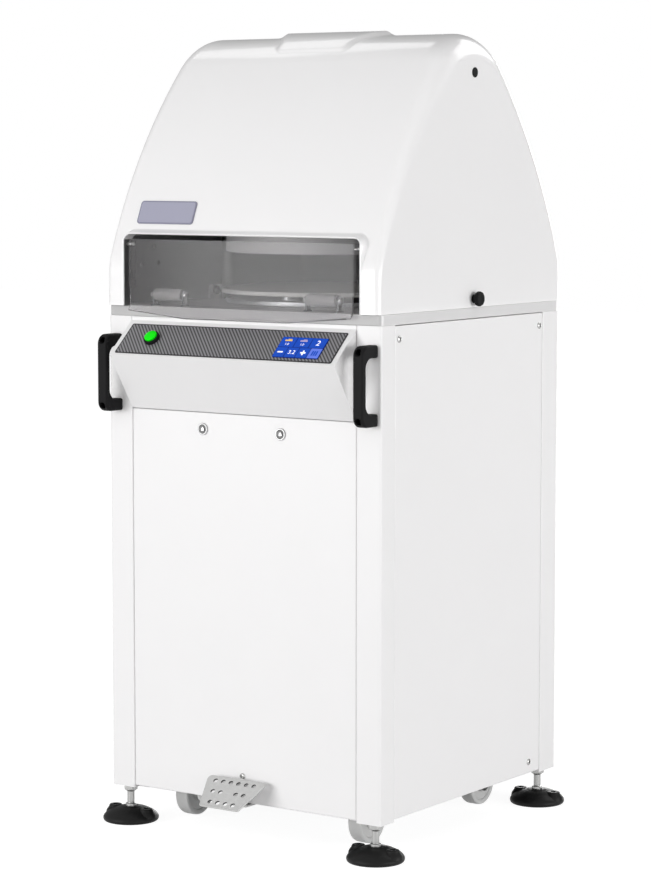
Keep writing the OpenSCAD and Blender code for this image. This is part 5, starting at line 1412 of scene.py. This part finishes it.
buildWheels()
print("feet and wheels made")

# pedal: blasted tread with punched holes, riser and lever folded from one sheet
pedalSizes = {"rear": 63.0, "front": 43.0, "side": 10.0, "run": 60.0, "fall": 43.0, "top": 119.0,
              "sheet": 3.0, "face": -310.0, "corners": (8, 8, 6, 6, 6, 6), "ease": 0.8, "hole": 9.0,
              "pitch": 17.0, "lever": 66.0, "leverHalf": 14.0, "leverBends": (2.0, 5.0), "leverGap": 0.5,
              "pivot": (-248.0, 76.0), "tubeR": 10.0, "boreR": 5.2, "tail": 40.0, "tailR": 3.0}
pedalRows = ((12.0, (-2.5, -1.5, -0.5, 0.5, 1.5, 2.5)), (36.9, (-2, -1, 1, 2)),
             (61.8, (-1.5, -0.5, 0.5, 1.5)))


def punchTree():
    inputs = {"Places": "Object", "Hole Radius": "Float", "Hole Depth": "Float", "Finish": "Material"}
    tree, start = groupTree("punchedHoles", inputs)
    punch = newNode(tree, "GeometryNodeMeshCylinder", Vertices=24)
    tree.links.new(start.outputs["Hole Radius"], punch.inputs["Radius"])
    tree.links.new(start.outputs["Hole Depth"], punch.inputs["Depth"])
    punches = copiesOn(tree, shapeFrom(tree, start, "Places"), punch.outputs["Mesh"])
    return endTree(tree, start, cutOut(tree, start.outputs["Geometry"], punches))


def pedalTread():
    p = pedalSizes
    length = math.hypot(p["run"], p["fall"])
    corners = [(-p["rear"], 0), (p["rear"], 0), (p["rear"], -p["side"]), (p["front"], -length),
               (-p["front"], -length), (-p["rear"], -p["side"])]
    tread = prism("tread", roundedPath(corners, p["corners"], 5), 0, p["sheet"])
    roundEdges(tread, p["ease"])
    holes = [(k * p["pitch"], -down, p["sheet"] / 2, (0, 0, 0)) for down, row in pedalRows for k in row]
    places = pointMesh("holePlaces", holes)
    r = p["hole"] / 2
    applyTree(tread, punchTree(), {"Places": places, "Hole Radius": r * metre,
                                   "Hole Depth": 4 * p["sheet"] * metre,
                                   "Finish": finishes["blastedSteel"]})
    discard(places)
    for face in tread.data.polygons:  # punched walls take the near-black finish as painted shade in the holes
        x, y = face.center.x / metre, face.center.y / metre
        near = min(math.hypot(x - hole[0], y - hole[1]) for hole in holes)
        face.material_index = 1 if near < r + 0.2 and abs(face.normal.z) < 0.5 else 0
    tilt = math.degrees(math.atan2(p["fall"], p["run"]))
    return placed(tread, shift(0, p["face"] - p["sheet"] / 2, p["top"] - p["sheet"]) @ spin(tilt, "X"))


def buildPedal():
    p = pedalSizes
    face, low, half, sheet = p["face"], p["lever"], p["leverHalf"], p["sheet"]
    (pivotY, pivotZ), (inner, outer), top = p["pivot"], p["leverBends"], p["top"] - p["leverGap"]
    bend = [(pivotY, low), (pivotY, low + sheet), (face, low + sheet), (face, top), (face - sheet, top),
            (face - sheet, low)]
    lever = uprightProfile(prism("lever", roundedPath(bend, [0, 0, inner, 0, 0, outer], 5), -half, half))
    mend(lever)
    ring = rectangle(p["boreR"], -half, p["tubeR"], half)
    tube = placed(lathe("tube", ring + ring[:1], 40), shift(0, pivotY, pivotZ) @ spin(90, "Y"))
    strip = rectangle(-half / 2, 0, half / 2, p["tail"])
    tail = prism("tail", roundedPath(strip, [0, 0, p["tailR"], p["tailR"]], 4), 0, sheet)
    placed(tail, shift(0, pivotY, low))
    piece = joined("pedal_folded", [pedalTread(), lever, tube, tail])
    smoothFaces(piece, 35.0, flats=True)
    settle(piece)
    paint(piece, "blastedSteel", "darkInsert")
    mount(piece, "pedal", "steel", "pedal_plate")


buildPedal()
print("pedal punched")

# small turned pieces: panel screws, locks, hood knobs, plugs
screwSizes = {"headD": 14.0, "headH": 3.4, "socket": 4.6, "foot": 0.5,
              "side": ((-243.4, 918.0), (231.4, 918.0), (204.4, 94.0)), "rearX": 235.4,
              "rearZ": (94.0, 918.0), "kickZ": 119.5, "handleY": -330.0, "handleZ": (780.5, 899.5),
              "hoodX": -295.0, "hood": ((-211.0, 1032.0), (-159.0, 1035.0), (-172.0, 1065.0))}


def screwShape():
    s = screwSizes
    r, foot, top, socket = s["headD"] / 2, s["foot"], s["headH"], s["socket"]
    profile = [(r, 0.0), (r, foot)]
    turns = np.linspace(0, math.pi / 2, 7)[1:5]
    profile += [(r * math.cos(a), foot + (top - foot) * math.sin(a)) for a in turns]
    profile += [(socket * 0.75, top), (socket * 0.62, top - 0.3), (socket * 0.56, top - 2.2),
                (0.0, top - 2.5)]
    shape = lathe("screwShape", profile, 18)
    smoothFaces(shape, 40.0)
    return shape


def buildScrews():
    s, face = screwSizes, cabinetSizes["face"]
    covers = [(side * face, y, z, (90, 0, side * 90)) for side in (1, -1) for y, z in s["side"]]
    covers += [(x, face, z, (90, 0, 180)) for x in (-s["rearX"], s["rearX"]) for z in s["rearZ"]]
    covers.append((0.0, -face, s["kickZ"], (90, 0, 0)))
    sunk = [(side * handleSizes["x"], s["handleY"], z, (90, 0, 0))
            for side in (-1, 1) for z in s["handleZ"]]
    inside = [(s["hoodX"], y, z, (90, 0, 90)) for y, z in s["hood"]]
    shape = screwShape()
    mount(scattered("cover_screws_turned", shape, covers, "screwSteel", 0.9), "cabinet", "steel",
          "cover_screws")
    # the sunk handle screws are painted near-black, standing for shade in their holes
    mount(scattered("handle_screws_turned", shape, sunk, "darkInsert", 0.8), "cabinet", "steel")
    mount(scattered("hood_wall_screws", shape, inside, "chrome", 0.7), "hood", "steel")
    discard(shape)


lockSizes = {"x": 86.0, "z": 745.0, "headR": 11.0, "headH": 3.0, "floor": 0.6, "floorBelow": 2.2,
             "floorIn": 2.9, "key": ((-4.4, -3.2), (4.4, -3.2), (0, 5.4)), "keyR": 1.8, "keyEase": 0.4,
             "barrelR": 7.9, "camW": 12.0, "camT": 3.0, "camR": 3.0}


def buildLocks():
    s, wall = lockSizes, cabinetSizes["face"]
    r, top = s["headR"], s["headH"]
    for node, body, side in (("lock_left", "lock_l", -1), ("lock_right", "lock_r", 1)):
        low, high = boxOf(node)
        back = -(high[1] + wall)
        ring = lathe("ring", [(r, 0.0), (r, top - 0.9), (r - 0.9, top), (r - 2.4, top),
                              (r - 3.0, top - 0.5), (r - 3.2, s["floor"]), (0.0, s["floor"])], 40)
        for face in ring.data.polygons:
            across = math.hypot(face.center.x, face.center.y)
            if face.center.z < s["floorBelow"] * metre and across < (r - s["floorIn"]) * metre:
                face.material_index = 1
        insert = prism("insert", roundedPath(s["key"], s["keyR"], 4), 0.5, top - 0.4)
        roundEdges(insert, s["keyEase"])
        markFaces(insert, 2)
        barrel = lathe("barrel", [(0.0, 0.0), (s["barrelR"], 0.0), (s["barrelR"], back + s["camT"]),
                                  (0.0, back + s["camT"])], 32)
        half = s["camW"] / 2
        upright = rectangle(-half, low[2] - s["z"], half, high[2] - s["z"])
        cam = prism("cam", roundedPath(upright, s["camR"], 4), back, back + s["camT"])
        piece = joined(node + "_turned", [ring, insert, barrel, cam])
        smoothFaces(piece, 35.0)
        placed(piece, shift(side * s["x"], -wall, s["z"]) @ spin(90, "X"))
        paint(piece, "lockSteel", "lockInner", "chrome")
        mount(piece, body, "steel", node)


knobSizes = {"z": 978.0, "wall": 299.3, "headR": 13.5, "headL": 9.0, "neck": 7.0, "neckR": 6.7,
             "flangeR": 8.1, "lobes": 10, "lobe": 0.7, "lobeFrom": 12.0, "studR": 4.0, "collarR": 8.0,
             "collarL": 6.0}


def buildKnobs():
    s = knobSizes
    end = s["neck"] + s["headL"]
    for node, body, side in (("hood_knob_left", "knob_left", -1), ("hood_knob_right", "knob_right", 1)):
        low, high = boxOf(node)
        back = (low[0] if side > 0 else -high[0]) - s["wall"]
        profile = [(0.0, back), (s["collarR"], back), (s["collarR"], s["collarL"] + back),
                   (s["studR"], s["collarL"] + back), (s["studR"], 0.0), (s["flangeR"], 0.0),
                   (s["flangeR"], 1.0), (s["neckR"], 2.0), (s["neckR"], s["neck"] - 0.8), (9.5, s["neck"]),
                   (12.4, s["neck"] + 0.5), (s["headR"], s["neck"] + 1.8), (s["headR"], end - 2.2),
                   (s["headR"] - 0.7, end - 0.8), (s["headR"] - 2.2, end), (5.0, end - 0.6),
                   (0.0, end - 0.8)]
        piece = lathe(node + "_moulded", profile, 60)
        for v in piece.data.vertices:
            r = math.hypot(v.co.x, v.co.y) / metre
            if r > s["lobeFrom"]:
                a = math.atan2(v.co.y, v.co.x)
                k = 1 - s["lobe"] / r * (0.5 - 0.5 * math.cos(a * s["lobes"]))
                v.co.x *= k
                v.co.y *= k
        smoothFaces(piece, 40.0)
        placed(piece, shift(side * s["wall"], 0, s["z"]) @ spin(side * 90, "Y"))
        paint(piece, "blackPlastic")
        mount(piece, body, "black_plastic", node)


plugSizes = {"r": 9.2, "proud": 1.6, "foot": 0.4, "ease": 1.8, "dome": 0.3}


def buildPlugs():
    s, wall = plugSizes, hoodSizes["halfWide"]
    low, high = boxOf("hood_plugs")
    z = (low[2] + high[2]) / 2
    profile = [(s["r"], 0.0)] + arcProfile(s["r"], s["foot"], s["r"] - s["ease"], s["proud"])
    shape = lathe("plugShape", profile + [(0.0, s["proud"] + s["dome"])], 32)
    smoothFaces(shape, 40.0)
    places = [(side * wall, 0.0, z, (0, side * 90, 0)) for side in (1, -1)]
    mount(scattered("hood_plugs_moulded", shape, places, "blackPlastic"), "hood", "black_plastic",
          "hood_plugs")
    discard(shape)


badgeSizes = {"x": -184.3, "z": 1131.0, "wide": 127.5, "high": 44.5, "thick": 2.0, "cornerR": 6.0,
              "border": 2.6, "sunk": 0.4, "proud": 0.25, "fieldR": 4.5}


def buildBadge():
    s = badgeSizes
    rows = hoodRows()[0]
    front = rows[:len(rows) // 2]
    heights = [row[1] for row in front]
    y, lean = (float(np.interp(s["z"], heights, [row[k] for row in front])) for k in (0, 2))
    base = (0.0, 0.0, s["thick"], s["cornerR"], 0.6, 3)
    field = (s["border"], s["thick"] - s["sunk"], s["thick"] + s["proud"], s["fieldR"], 0.2, 2)
    parts = []
    for inset, low, high, radius, ease, steps in (base, field):
        w, h = s["wide"] / 2 - inset, s["high"] / 2 - inset
        part = prism("plate", roundedPath(rectangle(-w, -h, w, h), radius, 5), low, high)
        roundEdges(part, ease, steps)
        markFaces(part, len(parts))
        parts.append(part)
    piece = joined("badge_plate", parts)
    smoothFaces(piece, 40.0)
    placed(piece, shift(s["x"], y, s["z"]) @ spin(90 - lean, "X"))
    paint(piece, "badgeEdge", "badgeGrey")
    mount(piece, "hood", "badge_grey", "name_plate")


buildScrews()
buildLocks()
buildKnobs()
buildPlugs()
buildBadge()
print("small pieces turned")

# CAD solids that keep their shape get their finish
keptFinishes = {
    "steel": "brushedSteel", "cast_alloy": "castAlloy", "frame_grey": "frameGrey",
    "black_plastic": "blackPlastic", "belt_rubber": "beltRubber", "unit_blue": "unitBlue",
    "plate_white": "plateWhite", "white_paint": "whitePaint", "screen_blue": "darkInsert",
    "table_grey": "tableGrey", "pad_rubber": "padRubber", "wheel_grey": "wheelGrey",
    "hood_white": "hoodWhite", "fascia_dark": "darkInsert", "button_green": "greenCap",
    "smoked_clear": "smokedPane", "badge_grey": "badgeGrey",
}
nodeSlots = {row["node"]: row["material_slot"] for row in frame["record"]["subparts"]}
for node, part in frame["nodes"].items():
    for holder in part.material_slots:
        holder.material = finishes[keptFinishes[nodeSlots[node]]]
print("CAD solids painted")
